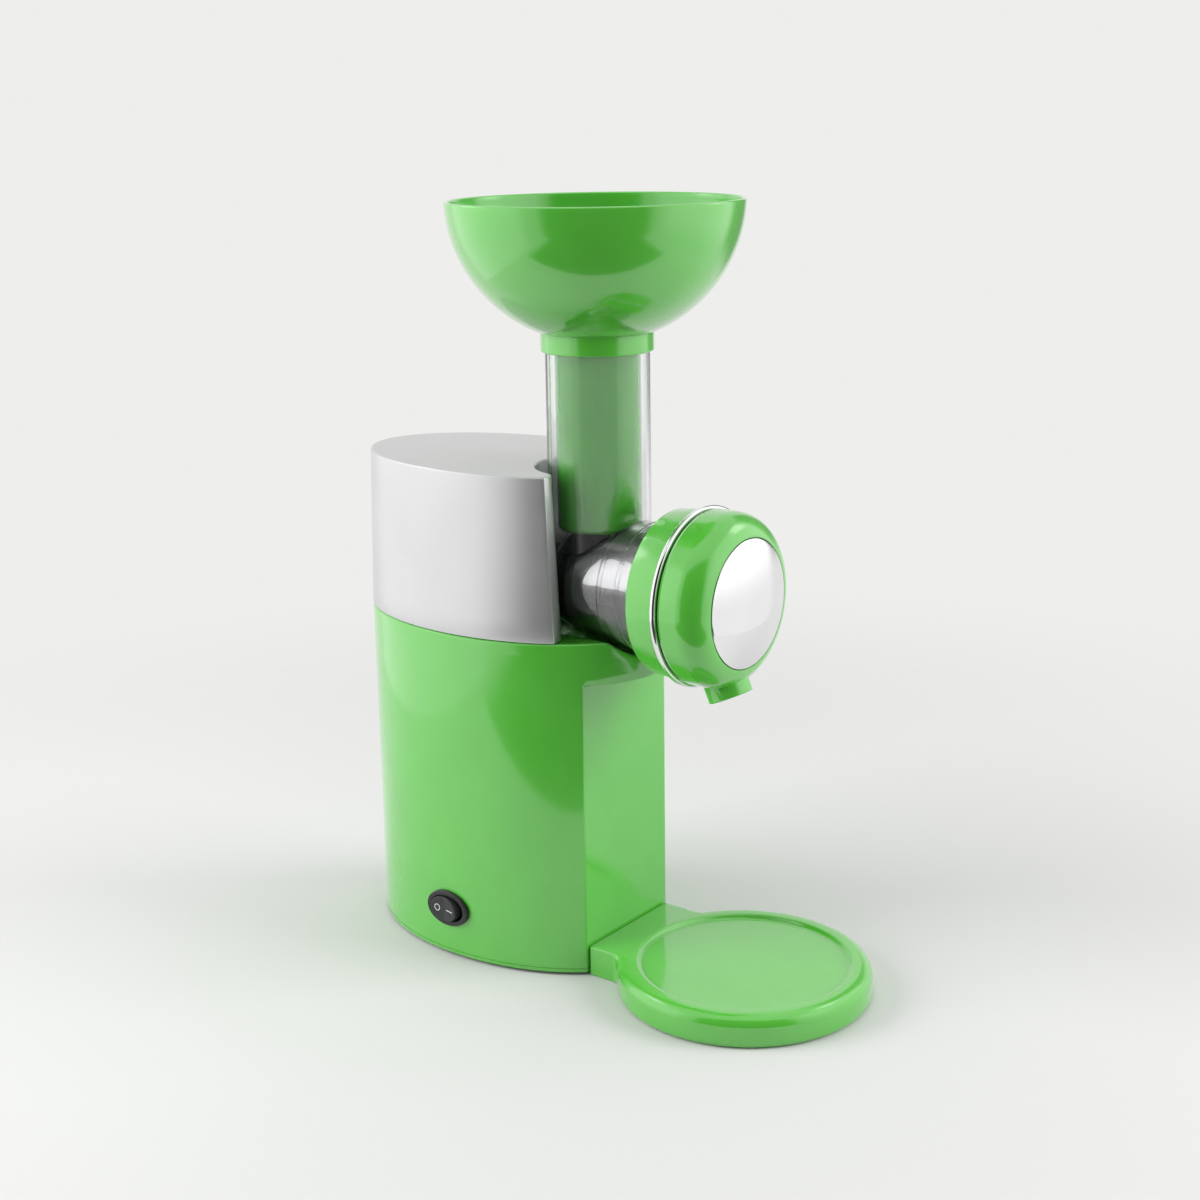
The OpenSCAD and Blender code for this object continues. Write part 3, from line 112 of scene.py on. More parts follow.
def makeMouldedSkin():
    # Height = slow waviness + fine grain, both noise: what a mould leaves in a plastic or painted face
    group, given, out = newGroup(
        "mouldedSkin", {"Wave Scale": 60.0, "Grain Scale": 1500.0, "Grain Share": 0.2}, ("Height", "Tone"))
    wave = noise(group, given["Vector"], given["Wave Scale"], 2.0, 0.4)
    grain = noise(group, given["Vector"], given["Grain Scale"], 3.0, 0.6)
    mixed = addNode(group, "ShaderNodeMix", {0: given["Grain Share"], 2: wave, 3: grain})
    join(group, (mixed.outputs[0], out["Height"]), (wave, out["Tone"]))
    return group


def makeHandlingWear():
    # Smudge = soft patches where hands go; Scuff = thin bright scratches, stretched noise cut near its top
    group, given, out = newGroup(
        "handlingWear", {"Patch Scale": 22.0, "Scratch Scale": 260.0}, ("Smudge", "Scuff"))
    patch = noise(group, given["Vector"], given["Patch Scale"], 4.0, 0.55, 0.6)
    smudge = rangeOf(group, patch, fromLow=0.42, fromHigh=0.7)
    askew = addNode(group, "ShaderNodeMapping", {
        "Vector": given["Vector"], "Rotation": (0.4, 0.9, 0.6), "Scale": (1.0, 0.07, 1.0)})
    lines = noise(group, askew.outputs["Vector"], given["Scratch Scale"], 2.0)
    scuff = calculate(group, "MULTIPLY", rangeOf(group, lines, fromLow=0.7, fromHigh=0.78), smudge)
    join(group, (smudge, out["Smudge"]), (scuff, out["Scuff"]))
    return group


def makeSettledDust():
    # Dust = how far the face looks up, to the third power, times fine noise
    group, given, out = newGroup("settledDust", {"Scale": 700.0, "Amount": 0.1}, ("Dust",))
    normal = addNode(group, "ShaderNodeNewGeometry").outputs["Normal"]
    upwards = addNode(group, "ShaderNodeSeparateXYZ", {"Vector": normal}).outputs["Z"]
    lying = calculate(group, "POWER", calculate(group, "MAXIMUM", upwards, 0.0), 3.0, use_clamp=True)
    specks = noise(group, given["Vector"], given["Scale"], 5.0, 0.7)
    specks = rangeOf(group, specks, fromLow=0.45, fromHigh=0.75)
    dust = calculate(group, "MULTIPLY", calculate(group, "MULTIPLY", specks, lying), given["Amount"])
    join(group, (dust, out["Dust"]))
    return group


def makeToolLines():
    # Lines = noise squeezed along one direction, as brushing, turning or drawing leaves on metal
    group, given, out = newGroup(
        "toolLines", {"Scale": 400.0, "Stretch": (1.0, 1.0, 0.03)}, ("Lines", "Tone"))
    squeezed = addNode(group, "ShaderNodeVectorMath", {0: given["Vector"], 1: given["Stretch"]},
                       operation="MULTIPLY").outputs["Vector"]
    fine = noise(group, squeezed, given["Scale"], 4.0, 0.65)
    join(group, (fine, out["Lines"]), (noise(group, given["Vector"], 35.0, 2.0), out["Tone"]))
    return group


mouldedSkin = makeMouldedSkin()
handlingWear = makeHandlingWear()
settledDust = makeSettledDust()
toolLines = makeToolLines()


# finishes

mouldedBase = {"waveScale": 60.0, "grainScale": 1500.0, "grainShare": 0.2, "patchScale": 22.0,
               "scratchScale": 260.0, "scuff": 0.25, "smudge": 0.04, "scuffRough": 0.15, "dust": 0.06,
               "dustRough": 0.6, "dustColour": (0.62, 0.6, 0.56), "bump": 0.2, "bumpDepth": 0.0004,
               "shader": {}}
mouldedLooks = {
    "green_plastic": {
        "colour": (0.082, 0.462, 0.036), "second": (0.090, 0.485, 0.042), "scuffColour": (0.30, 0.62, 0.22),
        "scuff": 0.06, "roughness": (0.17, 0.22), "smudge": 0.035, "waveScale": 42.0, "grainScale": 1800.0,
        "grainShare": 0.05, "bump": 0.10, "bumpDepth": 0.0005, "dust": 0.05,
        "shader": {"IOR": 1.5, "Coat Weight": 1.0, "Coat IOR": 1.75, "Coat Roughness": 0.08}},
    "silver_paint": {
        "colour": (0.60, 0.60, 0.605), "second": (0.63, 0.63, 0.635), "scuffColour": (0.8, 0.8, 0.8),
        "roughness": (0.30, 0.36), "waveScale": 30.0, "grainScale": 2600.0,
        "grainShare": 0.55, "bump": 0.12, "bumpDepth": 0.00015, "dust": 0.05,
        "shader": {"Metallic": 0.75, "Coat Weight": 0.15, "Coat Roughness": 0.25}},
    "black_plastic": {
        "colour": (0.017, 0.017, 0.018), "second": (0.023, 0.023, 0.024), "scuffColour": (0.12, 0.12, 0.12),
        "roughness": (0.34, 0.46), "waveScale": 90.0, "grainScale": 2400.0, "grainShare": 0.7,
        "bump": 0.35, "bumpDepth": 0.00012, "dust": 0.03},
    "black_rubber": {
        "colour": (0.016, 0.016, 0.016), "second": (0.024, 0.023, 0.023), "scuffColour": (0.09, 0.09, 0.09),
        "roughness": (0.55, 0.7), "grainScale": 1600.0, "grainShare": 0.8, "bump": 0.4,
        "bumpDepth": 0.0002, "dust": 0.08},
    "white_rubber": {
        "colour": (0.74, 0.74, 0.71), "second": (0.8, 0.8, 0.77), "scuffColour": (0.6, 0.58, 0.54),
        "roughness": (0.4, 0.5), "grainShare": 0.5, "bumpDepth": 0.0002},
    "white_nylon": {
        "colour": (0.72, 0.70, 0.62), "second": (0.78, 0.76, 0.69), "scuffColour": (0.85, 0.84, 0.8),
        "roughness": (0.36, 0.46), "grainShare": 0.4, "bump": 0.25, "bumpDepth": 0.0002},
    "carbon": {
        "colour": (0.026, 0.026, 0.028), "second": (0.04, 0.04, 0.042), "scuffColour": (0.15, 0.15, 0.15),
        "roughness": (0.5, 0.62), "grainScale": 3000.0, "grainShare": 0.8, "bump": 0.4, "bumpDepth": 0.0001},
    "wire_insulation": {
        "colour": (0.022, 0.022, 0.024), "second": (0.034, 0.034, 0.036), "scuffColour": (0.1, 0.1, 0.1),
        "roughness": (0.38, 0.5), "grainShare": 0.5, "bumpDepth": 0.0001},
    "mark_paint": {   # the two marks on the rocker
        "colour": (0.78, 0.78, 0.79), "second": (0.82, 0.82, 0.82), "scuffColour": (0.5, 0.5, 0.5),
        "roughness": (0.4, 0.5), "grainShare": 0.6, "bump": 0.1, "bumpDepth": 0.00005, "dust": 0.0},
}
metalBase = {"lineScale": 400.0, "stretch": (1.0, 1.0, 1.0), "patchScale": 40.0, "scratchScale": 260.0,
             "smudge": 0.03, "scuffRough": 0.12, "dust": 0.04, "dustRough": 0.0,
             "dustColour": (0.5, 0.48, 0.45), "bump": 0.15, "bumpDepth": 0.0002, "shader": {"Metallic": 1.0}}
metalLooks = {
    "chrome": {
        "colour": (0.88, 0.88, 0.89), "second": (0.91, 0.91, 0.92), "roughness": (0.035, 0.06),
        "smudge": 0.02, "bump": 0.03, "bumpDepth": 0.0001, "lineScale": 60.0, "dust": 0.02},
    "dome_chrome": {   # a little softer, as on the broad dome
        "colour": (0.84, 0.84, 0.85), "second": (0.88, 0.88, 0.885), "roughness": (0.05, 0.085),
        "bump": 0.03, "bumpDepth": 0.0001, "lineScale": 60.0, "dust": 0.02},
    "brushed_steel": {
        "colour": (0.125, 0.121, 0.125), "second": (0.14, 0.136, 0.14), "roughness": (0.26, 0.34),
        "bump": 0.12, "bumpDepth": 0.00001, "lineScale": 1500.0, "stretch": (0.05, 1.0, 0.05)},
    "zinc_steel": {
        "colour": (0.50, 0.51, 0.53), "second": (0.60, 0.60, 0.60), "roughness": (0.28, 0.45),
        "lineScale": 500.0, "bump": 0.2},
    "cast_aluminium": {
        "colour": (0.52, 0.53, 0.54), "second": (0.60, 0.61, 0.62), "roughness": (0.42, 0.6),
        "lineScale": 1300.0, "bump": 0.5, "bumpDepth": 0.0004},
    "bronze": {
        "colour": (0.55, 0.38, 0.16), "second": (0.66, 0.49, 0.23), "roughness": (0.32, 0.5),
        "lineScale": 1600.0, "bump": 0.4},
    "copper": {
        "colour": (0.55, 0.22, 0.10), "second": (0.66, 0.31, 0.17), "roughness": (0.2, 0.34),
        "lineScale": 1100.0, "stretch": (1.0, 0.04, 1.0), "bump": 0.5, "bumpDepth": 0.0004},
}
clearLook = {"colour": (0.95, 0.97, 0.97), "second": (0.97, 0.98, 0.98), "roughness": (0.01, 0.03),
             "waveScale": 30.0, "grainScale": 1500.0, "grainShare": 0.04, "patchScale": 30.0,
             "scratchScale": 320.0, "smudge": 0.012, "scuffRough": 0.1, "bump": 0.02, "bumpDepth": 0.0004,
             "shader": {"Transmission Weight": 1.0, "IOR": 1.46}}


def makeFinish(name, look):
    # colour = first towards second by a slow tone, paler by scuffs and dust;
    # roughness = a range by the tone or by tool lines, plus smudges, scratches and dust;
    # bump = the mould's waviness and grain, or the tool lines
    finish = bpy.data.materials.new(name.replace("_", " ") + " finish")
    finish.use_nodes = True
    tree = finish.node_tree
    shader = tree.nodes["Principled BSDF"]
    place = addNode(tree, "ShaderNodeTexCoord").outputs["Object"]
    if "lineScale" in look:
        lines = placeGroup(tree, toolLines, place, {"Scale": look["lineScale"], "Stretch": look["stretch"]})
        tone, polish, relief = lines["Tone"], lines["Lines"], lines["Lines"]
    else:
        skin = placeGroup(tree, mouldedSkin, place, {
            "Wave Scale": look["waveScale"], "Grain Scale": look["grainScale"],
            "Grain Share": look["grainShare"]})
        tone, polish, relief = skin["Tone"], skin["Tone"], skin["Height"]
    wear = placeGroup(tree, handlingWear, place, {
        "Patch Scale": look["patchScale"], "Scratch Scale": look["scratchScale"]})
    colour = mixColours(tree, rangeOf(tree, tone), look["colour"], look["second"])
    if "scuffColour" in look:
        scuffs = rangeOf(tree, wear["Scuff"], 0.0, look["scuff"], 0.0, 1.0)
        colour = mixColours(tree, scuffs, colour, look["scuffColour"])
    rough = rangeOf(tree, polish, *look["roughness"])
    rough = calculate(tree, "MULTIPLY_ADD", wear["Smudge"], look["smudge"], rough)
    rough = calculate(tree, "MULTIPLY_ADD", wear["Scuff"], look["scuffRough"], rough)
    if "dust" in look:
        dust = placeGroup(tree, settledDust, place, {"Amount": look["dust"]})["Dust"]
        colour = mixColours(tree, dust, colour, look["dustColour"])
        rough = calculate(tree, "MULTIPLY_ADD", dust, look["dustRough"], rough)
    bump = addNode(tree, "ShaderNodeBump", {
        "Height": relief, "Strength": look["bump"], "Distance": look["bumpDepth"]})
    join(tree, (colour, shader.inputs["Base Color"]), (rough, shader.inputs["Roughness"]),
         (bump.outputs["Normal"], shader.inputs["Normal"]))
    for socket, value in look["shader"].items():
        shader.inputs[socket].default_value = value
    return finish


finishes = {name: makeFinish(name, {**mouldedBase, **look}) for name, look in mouldedLooks.items()}
finishes.update({name: makeFinish(name, {**metalBase, **look}) for name, look in metalLooks.items()})
finishes["clear_plastic"] = makeFinish("clear_plastic", clearLook)

slotOfNode = {n: material["slot"] for material in frame["record"].get("materials", [])
              for n in material.get("nodes", [])}
for name, obj in nodes.items():
    for place in obj.material_slots:
        label = place.material.name.split(".")[0] if place.material else ""
        wanted = label if label in finishes else slotOfNode.get(name)
        if wanted in finishes:
            place.material = finishes[wanted]
        else:
            print("no finish for", name, label)
print("finishes made:", len(finishes))


# shapes

def softOutline(corners, steps=6):
    # A corner (x, y, r) turns into the arc centre + (sin((1-k)g) s + sin(kg) e) / sin g, where s and e
    # reach from the arc's centre to the two edges it touches and g is the angle between them.
    points = np.array([c[:2] for c in corners], float)
    made = []
    for corner, p, q, spec in zip(points, np.roll(points, 1, 0), np.roll(points, -1, 0), corners):
        r = spec[2] if len(spec) > 2 else 0
        if r <= 0:
            made.append(corner[None])
            continue
        a = (p - corner) / np.linalg.norm(p - corner)
        b = (q - corner) / np.linalg.norm(q - corner)
        half = math.acos(np.clip(a @ b, -1, 1)) / 2
        centre = corner + (a + b) / np.linalg.norm(a + b) * r / math.sin(half)
        s, e = corner + a * r / math.tan(half) - centre, corner + b * r / math.tan(half) - centre
        g = math.pi - 2 * half
        k = np.linspace(0, 1, steps + 1)[:, None]
        made.append(centre + (np.sin((1 - k) * g) * s + np.sin(k * g) * e) / math.sin(g))
    return np.concatenate(made)


def turned(outline, origin, along, up, count=128):
    # point = origin + a * along + r * (up cos t + side sin t), with side = along x up and t round the circle
    t = np.linspace(0, 2 * math.pi, count, endpoint=False)[:, None]
    along, up = np.array(along, float), np.array(up, float)
    ring = np.cos(t) * up + np.sin(t) * np.cross(along, up)
    return np.array(origin, float) + outline[:, 1, None, None] * along + outline[:, 0, None, None] * ring


def onDrumAxis(outline, count=128):
    # outline is (radius, forward); the axis runs towards -Y at the drum's height
    return turned(outline, (0, layout["bodyMiddle"], layout["drumHeight"]), (0, -1, 0), (0, 0, 1), count)


def onTubeAxis(outline, count=128):
    # outline is (radius, height); the axis is the feed tube's
    return turned(outline, (0, tubeY, 0), (0, 0, 1), (0, -1, 0), count)


def rod(radius, low, high):
    # profile of a plain cylinder, closed at both ends
    return np.array([(0, low), (radius, low), (radius, high), (0, high)])


def makeMesh(name, *grids, loopRows=False, loopCols=True):
    # corner (i, j) of a grid is vertex i * columns + j; each face joins it with its next row and column
    places, faces, start = [], [], 0
    for grid in grids:
        rows, cols = grid.shape[:2]
        i, j = np.meshgrid(np.arange(rows - (not loopRows)), np.arange(cols - (not loopCols)), indexing="ij")
        i2, j2 = (i + 1) % rows, (j + 1) % cols
        quads = np.stack([i * cols + j, i * cols + j2, i2 * cols + j2, i2 * cols + j], -1)
        faces += (quads.reshape(-1, 4) + start).tolist()
        places.append(grid.reshape(-1, 3))
        start += rows * cols
    mesh = bpy.data.meshes.new(name)
    mesh.from_pydata((np.concatenate(places) * 0.001).tolist(), [], faces)
    work = bmesh.new()
    work.from_mesh(mesh)
    bmesh.ops.remove_doubles(work, verts=work.verts, dist=2e-6)
    bmesh.ops.dissolve_degenerate(work, dist=1e-6, edges=work.edges)
    bmesh.ops.recalc_face_normals(work, faces=work.faces)
    if work.calc_volume(signed=True) < 0:
        bmesh.ops.reverse_faces(work, faces=work.faces)
    work.to_mesh(mesh)
    work.free()
    return mesh


def placeObject(name, data):
    obj = bpy.data.objects.new(name, data)
    bpy.context.scene.collection.objects.link(obj)
    return obj


def makePiece(name, *grids, **loops):
    return placeObject(name, makeMesh(name, *grids, **loops))


def settle(obj):
    # the mesh that the modifiers make becomes the piece's own
    fresh = bpy.data.meshes.new_from_object(obj.evaluated_get(bpy.context.evaluated_depsgraph_get()))
    obj.modifiers.clear()
    obj.data = fresh


def combine(obj, way, *grids):
    # way is UNION or DIFFERENCE with the closed solids that the grids bound
    tool = makePiece("tool", *grids)
    step = obj.modifiers.new("combine", "BOOLEAN")
    step.object, step.operation, step.solver = tool, way, "EXACT"
    settle(obj)
    bpy.data.objects.remove(tool)


def thicken(obj, wall):
    step = obj.modifiers.new("wall", "SOLIDIFY")
    step.thickness, step.offset = wall * 0.001, -1
    settle(obj)


def finishPiece(obj, slotName, body, *standsFor, sharp=34, finish=None):
    mesh = obj.data
    mesh.materials.clear()
    mesh.materials.append(finishes[finish or slotName])
    mesh.shade_smooth()
    mesh.set_sharp_from_angle(angle=math.radians(sharp))
    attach(obj, body)
    if standsFor:
        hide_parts(*standsFor)


def sidewaysOf(outline):
    # outward direction of a closed loop of (x, forward) points that runs clockwise seen from above:
    # the mean of the two edges' unit directions, turned a quarter
    step = np.roll(outline, -1, 0) - outline
    step /= np.linalg.norm(step, axis=1)[:, None]
    mean = step + np.roll(step, 1, 0)
    mean /= np.linalg.norm(mean, axis=1)[:, None]
    out = np.stack([mean[:, 1], -mean[:, 0]], 1)
    reach = (out * outline).sum(1).mean()
    return out if reach > 0 else -out


def fullLoop(half):
    # a half loop from x = 0 to x = 0 and its mirror image, in one closed loop
    mirror = half[-2:0:-1] * (-1, 1)
    return np.concatenate([half, mirror])


def stood(outline, z):
    # (x, forward) and a height, or a height for each point, as (x, y, z)
    z = np.broadcast_to(z, outline.shape[:1])
    return np.stack([outline[:, 0], layout["bodyMiddle"] - outline[:, 1], z], 1)


# body

housing = {"halfWidth": 59.4, "halfLength": 90.5, "height": 182.0, "foot": 1.5, "frontFlat": 72.2,
           "noseHeight": 160.0, "cornerRound": 1.8, "edgeRound": 1.7, "wall": 2.5, "troughRadius": 35.3,
           "troughBack": 30.3, "creaseSoft": 0.45, "creaseFrom": 21.8, "creaseTo": 28.2,
           "grooveHeight": 3.9, "grooveDepth": 0.35, "openingFront": 52.2, "openingRing": 36.4,
           "rimWidth": 8.0, "pocketHalf": 34, "straightTo": 36, "straightFade": 12,
           "switchSeat": (14.3, 10.0), "switchHole": (12.5, 8.45), "seatFloor": -58.2, "holeEnd": -50,
           "outside": -70, "inletHeight": 24, "behindInlet": -96, "inletSeat": (6.9, -89.7),
           "inletNeck": (5.25, -80), "postRadius": 4.5, "postBore": 1.6, "postLow": 5, "postTop": 30.0,
           "postPlace": (43.9, 46)}


def housingLoops(look):
    # lower loop: straight front, arc at its corner, ellipse (a sin t, b cos t);
    # upper loop: the same x, all on the ellipse
    a, b, flat, r = look["halfWidth"], look["halfLength"], look["frontFlat"], look["cornerRound"]
    turnAt = math.acos(flat / b)
    edge = np.array([a * math.sin(turnAt), flat])
    away = np.array([a * math.cos(turnAt), -b * math.sin(turnAt)])
    speed = np.linalg.norm(away)
    corner = softOutline([(0, flat), (*edge, r), tuple(edge + away / speed * 10)], 8)[1:-1]
    used = np.linalg.norm(corner[-1] - edge)
    # rows of points along the front, close together over the crease
    straight = np.concatenate([np.linspace(0, 21, 14), np.linspace(look["creaseFrom"], look["creaseTo"], 15),
                               np.linspace(29, corner[0, 0] - 0.4, 7)])
    t = np.linspace(turnAt + used / speed, math.pi, 120)[1:]
    lower = np.concatenate([np.stack([straight, np.full_like(straight, flat)], 1), corner,
                            np.stack([a * np.sin(t), b * np.cos(t)], 1)])
    lower[-1, 0] = 0
    front = len(straight) + len(corner)
    upper = lower.copy()
    upper[:front, 1] = b * np.sqrt(1 - (upper[:front, 0] / a) ** 2)
    return fullLoop(lower), fullLoop(upper)


def makeHousing(look):
    lower, upper = housingLoops(look)
    outLower, outUpper = sidewaysOf(lower), sidewaysOf(upper)
    x, f = upper[:, 0], upper[:, 1]
    deck, trough = look["height"], look["troughRadius"]

    def under(radius, centre, beyond):
        # lower half of the circle about (0, centre) over x, and a set value beyond it
        return np.where(np.abs(x) < radius, centre - np.sqrt(np.maximum(radius ** 2 - x ** 2, 0)), beyond)

    # deck height: the lower of the flat deck and the trough's circle, softened where they meet
    k = look["creaseSoft"]
    above = (deck - under(trough, layout["drumHeight"], 400.0)) / k
    soft = deck - k * np.log1p(np.exp(np.clip(above, -60, 60)))
    top = np.where((f > look["troughBack"]) & (np.abs(x) < trough), soft, deck)
    # the side from its soft foot over the fine groove up to the nose, as (inset, height)
    low, groove, depth, nose = look["foot"], look["grooveHeight"], look["grooveDepth"], look["noseHeight"]
    rows = [stood(lower - outLower * inset, z) for inset, z in (
        (0.9, low), (0.25, low + 0.2), (0, low + 0.8), (0, groove - 0.3), (depth, groove - 0.2),
        (depth, groove + 0.2), (0, groove + 0.3), (0, 40), (0, 80), (0, 120), (0, nose - 1))]
    # under the nose: out from the straight front to the ellipse, with its edge rounded
    step = np.clip(upper[:, 1] - lower[:, 1], 0, 1)[:, None]
    rows += [stood(upper - outUpper * inset * step, nose + z)
             for inset, z in ((1.0, 0), (0.29, 0.29), (0, 1.0))]
    r = look["edgeRound"]
    start = nose + 1.0
    rows += [stood(upper, start + (top - r - start) * share) for share in (0.35, 0.7, 1)]
    # inward direction: straight back at the front, across the wall elsewhere
    side = np.clip((np.abs(x) - look["straightTo"]) / look["straightFade"], 0, 1)
    side = np.where(f < 0, 1, side)[:, None]
    inward = (1 - side) * np.array([0, -1]) - side * outUpper
    inward /= np.linalg.norm(inward, axis=1)[:, None]
    rows += [stood(upper + inward * r * (1 - math.cos(turn)), top - r * (1 - math.sin(turn)))
             for turn in np.linspace(0, math.pi / 2, 7)[1:]]
    edge = upper + inward * r
    # the deck ends at the opening under the cover
    end = upper - outUpper * look["rimWidth"]
    end[:, 0] = end[:, 0] * side[:, 0] + x * (1 - side[:, 0])
    ring = under(look["openingRing"], layout["tubeForward"], look["openingFront"])
    end[:, 1] = np.where(f > 0, np.minimum(end[:, 1], np.minimum(ring, look["openingFront"])), end[:, 1])
    middle = end.copy()
    reaches = (f > 0) & (end[:, 1] < look["troughBack"]) & (np.abs(x) < look["pocketHalf"])
    middle[reaches, 1] = look["troughBack"]
    rows += [stood(edge + (middle - edge) * share, top) for share in (0.03, 0.15, 0.35, 0.6, 0.85, 1)]
    rows += [stood(middle, deck), stood(end, deck)]
    obj = makePiece("housingShell", np.stack(rows))
    thicken(obj, look["wall"])
    # the switch's seat and hole, and the stepped hole of the cord inlet
    out, far, (seat, seatAt), (neck, neckAt) = (
        look[key] for key in ("outside", "behindInlet", "inletSeat", "inletNeck"))
    inlet = np.array([(0, far), (seat, far), (seat, seatAt), (neck, seatAt), (neck, neckAt), (0, neckAt)])
    combine(obj, "DIFFERENCE", ovalRod(look["switchSeat"], out, look["seatFloor"]),
            ovalRod(look["switchHole"], out - 0.5, look["holeEnd"]),
            turned(inlet, (0, layout["bodyMiddle"], look["inletHeight"]), (0, -1, 0), (0, 0, 1), 64))
    bore, radius, low, high = look["postBore"], look["postRadius"], look["postLow"], look["postTop"]
    post = softOutline([(bore, low), (radius, low), (radius, high, 0.4), (bore, high)], 3)
    px, py = look["postPlace"]
    posts = [turned(post, (sx * px, layout["bodyMiddle"] + sy * py, 0), (0, 0, 1), (1, 0, 0), 40)
             for sx in (-1, 1) for sy in (-1, 1)]
    work = bmesh.new()
    work.from_mesh(obj.data)
    work.from_mesh(makeMesh("posts", *posts, loopRows=True))
    work.to_mesh(obj.data)
    work.free()
    finishPiece(obj, "green_plastic", "root", "base_housing")


switch = {"height": 27.9, "behind": 3.3, "seat": -58.3, "outFace": -61.56, "back": -42.0, "floor": -50.0,
          "halfLength": 14.1, "halfHeight": 9.85, "bodyOval": (12.3, 8.2), "openingLength": 11.2,
          "openingHeight": 7.2, "pin": -54.5, "rockerLength": 9.6, "rockerHeight": 6.7, "rockerRound": 0.7,
          "rockerSkirt": (-0.5, 2.4), "rimPower": 0.9, "reach": 9.26, "turn": 12.0, "edgeRound": 0.9,
          "lipRound": 0.45, "markDistance": 4.7, "ringRadius": 1.75, "barHalf": 2.6, "markWidth": 0.36,
          "markLift": 0.07}


def ovalRing(rows, count=96):
    # rows of (half length l, half height h, x): y = l cos t, z = h sin t about the switch's middle
    t = np.linspace(0, 2 * math.pi, count, endpoint=False)
    y = layout["bodyMiddle"] + switch["behind"] + rows[:, 0, None] * np.cos(t)
    z = switch["height"] + rows[:, 1, None] * np.sin(t)
    return np.stack([np.broadcast_to(rows[:, 2, None], y.shape), y, z], -1)


def ovalRod(halves, start, end):
    return ovalRing(np.array([(0, 0, start), (*halves, start), (*halves, end), (0, 0, end)]))


def makeSwitch(look):
    l, h, out, r = look["halfLength"], look["halfHeight"], look["outFace"], look["edgeRound"]
    ol, oh, lip, seat = look["openingLength"], look["openingHeight"], look["lipRound"], look["seat"]
    turn = np.linspace(0, math.pi / 2, 7)
    outer = np.stack([l - r + r * np.cos(turn), h - r + r * np.cos(turn), out + r - r * np.sin(turn)], 1)
    inner = np.stack([ol + lip - lip * np.sin(turn), oh + lip - lip * np.sin(turn),
                      out + lip - lip * np.cos(turn)], 1)
    behind = [(0, 0, look["back"])] + [(*look["bodyOval"], x) for x in (look["back"], seat + 0.5, seat)]
    rows = np.concatenate([
        behind, [(l - 0.15, h - 0.15, seat), (l, h, seat - 0.15), (l, h, out + r + 0.05)],
        outer, [(l - r - 0.3, h - r - 0.3, out), (ol + lip + 0.3, oh + lip + 0.3, out + 0.02)], inner,
        [(ol, oh, look["floor"] + 0.2), (ol - 0.2, oh - 0.2, look["floor"]), (0, 0, look["floor"])]])
    finishPiece(makePiece("switchBezel", ovalRing(rows)), "black_plastic", "root", "switch_body")

    # rocker: two flats that meet in a shallow V, an oval rim with its edge rounded, turned about the pin
    rl, rh, reach, edge = look["rockerLength"], look["rockerHeight"], look["reach"], look["rockerRound"]
    dip = rl * math.tan(math.radians(look["turn"] / 2))
    t = np.linspace(0, 2 * math.pi, 96, endpoint=False)
    c, s = (np.sign(wave) * np.abs(wave) ** look["rimPower"] for wave in (np.cos(t), np.sin(t)))
    shares = np.concatenate([[0, 0.25, 0.5, 0.75, 0.88], 1 - edge / rl * (1 - np.sin(turn)), np.ones(3)])
    drop = np.concatenate([np.zeros(5), edge * (1 - np.cos(turn)), np.full(3, edge + 1)])
    y, z = rl * shares[:, None] * c, rh * shares[:, None] * s
    face = reach - dip + dip * np.abs(y) / rl
    x = -(face - drop[:, None])
    x[-2], x[-1] = look["rockerSkirt"]   # the last two rows are flat
    grid = np.stack([x, y, z], -1)
    back = grid[-1:].copy()
    back[..., 1:] = 0
    grid = np.concatenate([grid, back])
    angle = math.radians(-look["turn"] / 2)
    c, s = math.cos(angle), math.sin(angle)
    spin = np.array([[c, -s, 0], [s, c, 0], [0, 0, 1]])
    pin = np.array([look["pin"], layout["bodyMiddle"] + look["behind"], look["height"]])
    rocker = makePiece("switchRocker", grid @ spin.T + pin)
    finishPiece(rocker, "black_plastic", "rocker", "switch_rocker", sharp=30)

    # painted marks: a ring at the rear half and a bar at the front half, each a thin raised film
    slope = math.atan2(dip, rl)
    w, lift, ring = look["markWidth"] / 2, look["markLift"], look["ringRadius"]
    u = np.linspace(0, 2 * math.pi, 48, endpoint=False)
    across, rise = np.array([(-w, 0), (-w, lift), (w, lift), (w, 0)]).T[..., None]
    share, barRise = np.array([(0, 0), (1, 0), (1, lift), (0, lift)]).T[..., None]
    marks = {
        "offMark": (1, rise, (ring + across) * np.cos(u), (ring + across) * np.sin(u)),
        "onMark": (-1, barRise, share * (w * np.cos(u) + np.sign(np.cos(u)) * (look["barHalf"] - w)),
                   share * w * 1.2 * np.sin(u))}
    for name, (side, height, y, z) in marks.items():
        y = y + side * look["markDistance"]
        x = -(reach - dip + np.abs(y) * math.tan(slope) + height - 0.01)
        mark = makePiece(name, np.stack([x, y, z], -1) @ spin.T + pin, loopRows=side > 0)
        finishPiece(mark, "white_rubber", "rocker", finish="mark_paint")


cover = {"low": 182.3, "top": 266.9, "lowWidth": 59.4, "topWidth": 54.4, "lowLength": 90.5, "topLength": 89.5,
         "lowFront": 60.8, "topFront": 55.7, "recessRadius": 32.9, "lipRadius": 8.0, "cornerRound": 1.3,
         "edgeRound": 1.15, "wall": 2.5, "boreRadius": 17.3, "boreFrom": 5, "boreTo": 40, "lidMiddle": 60.0}


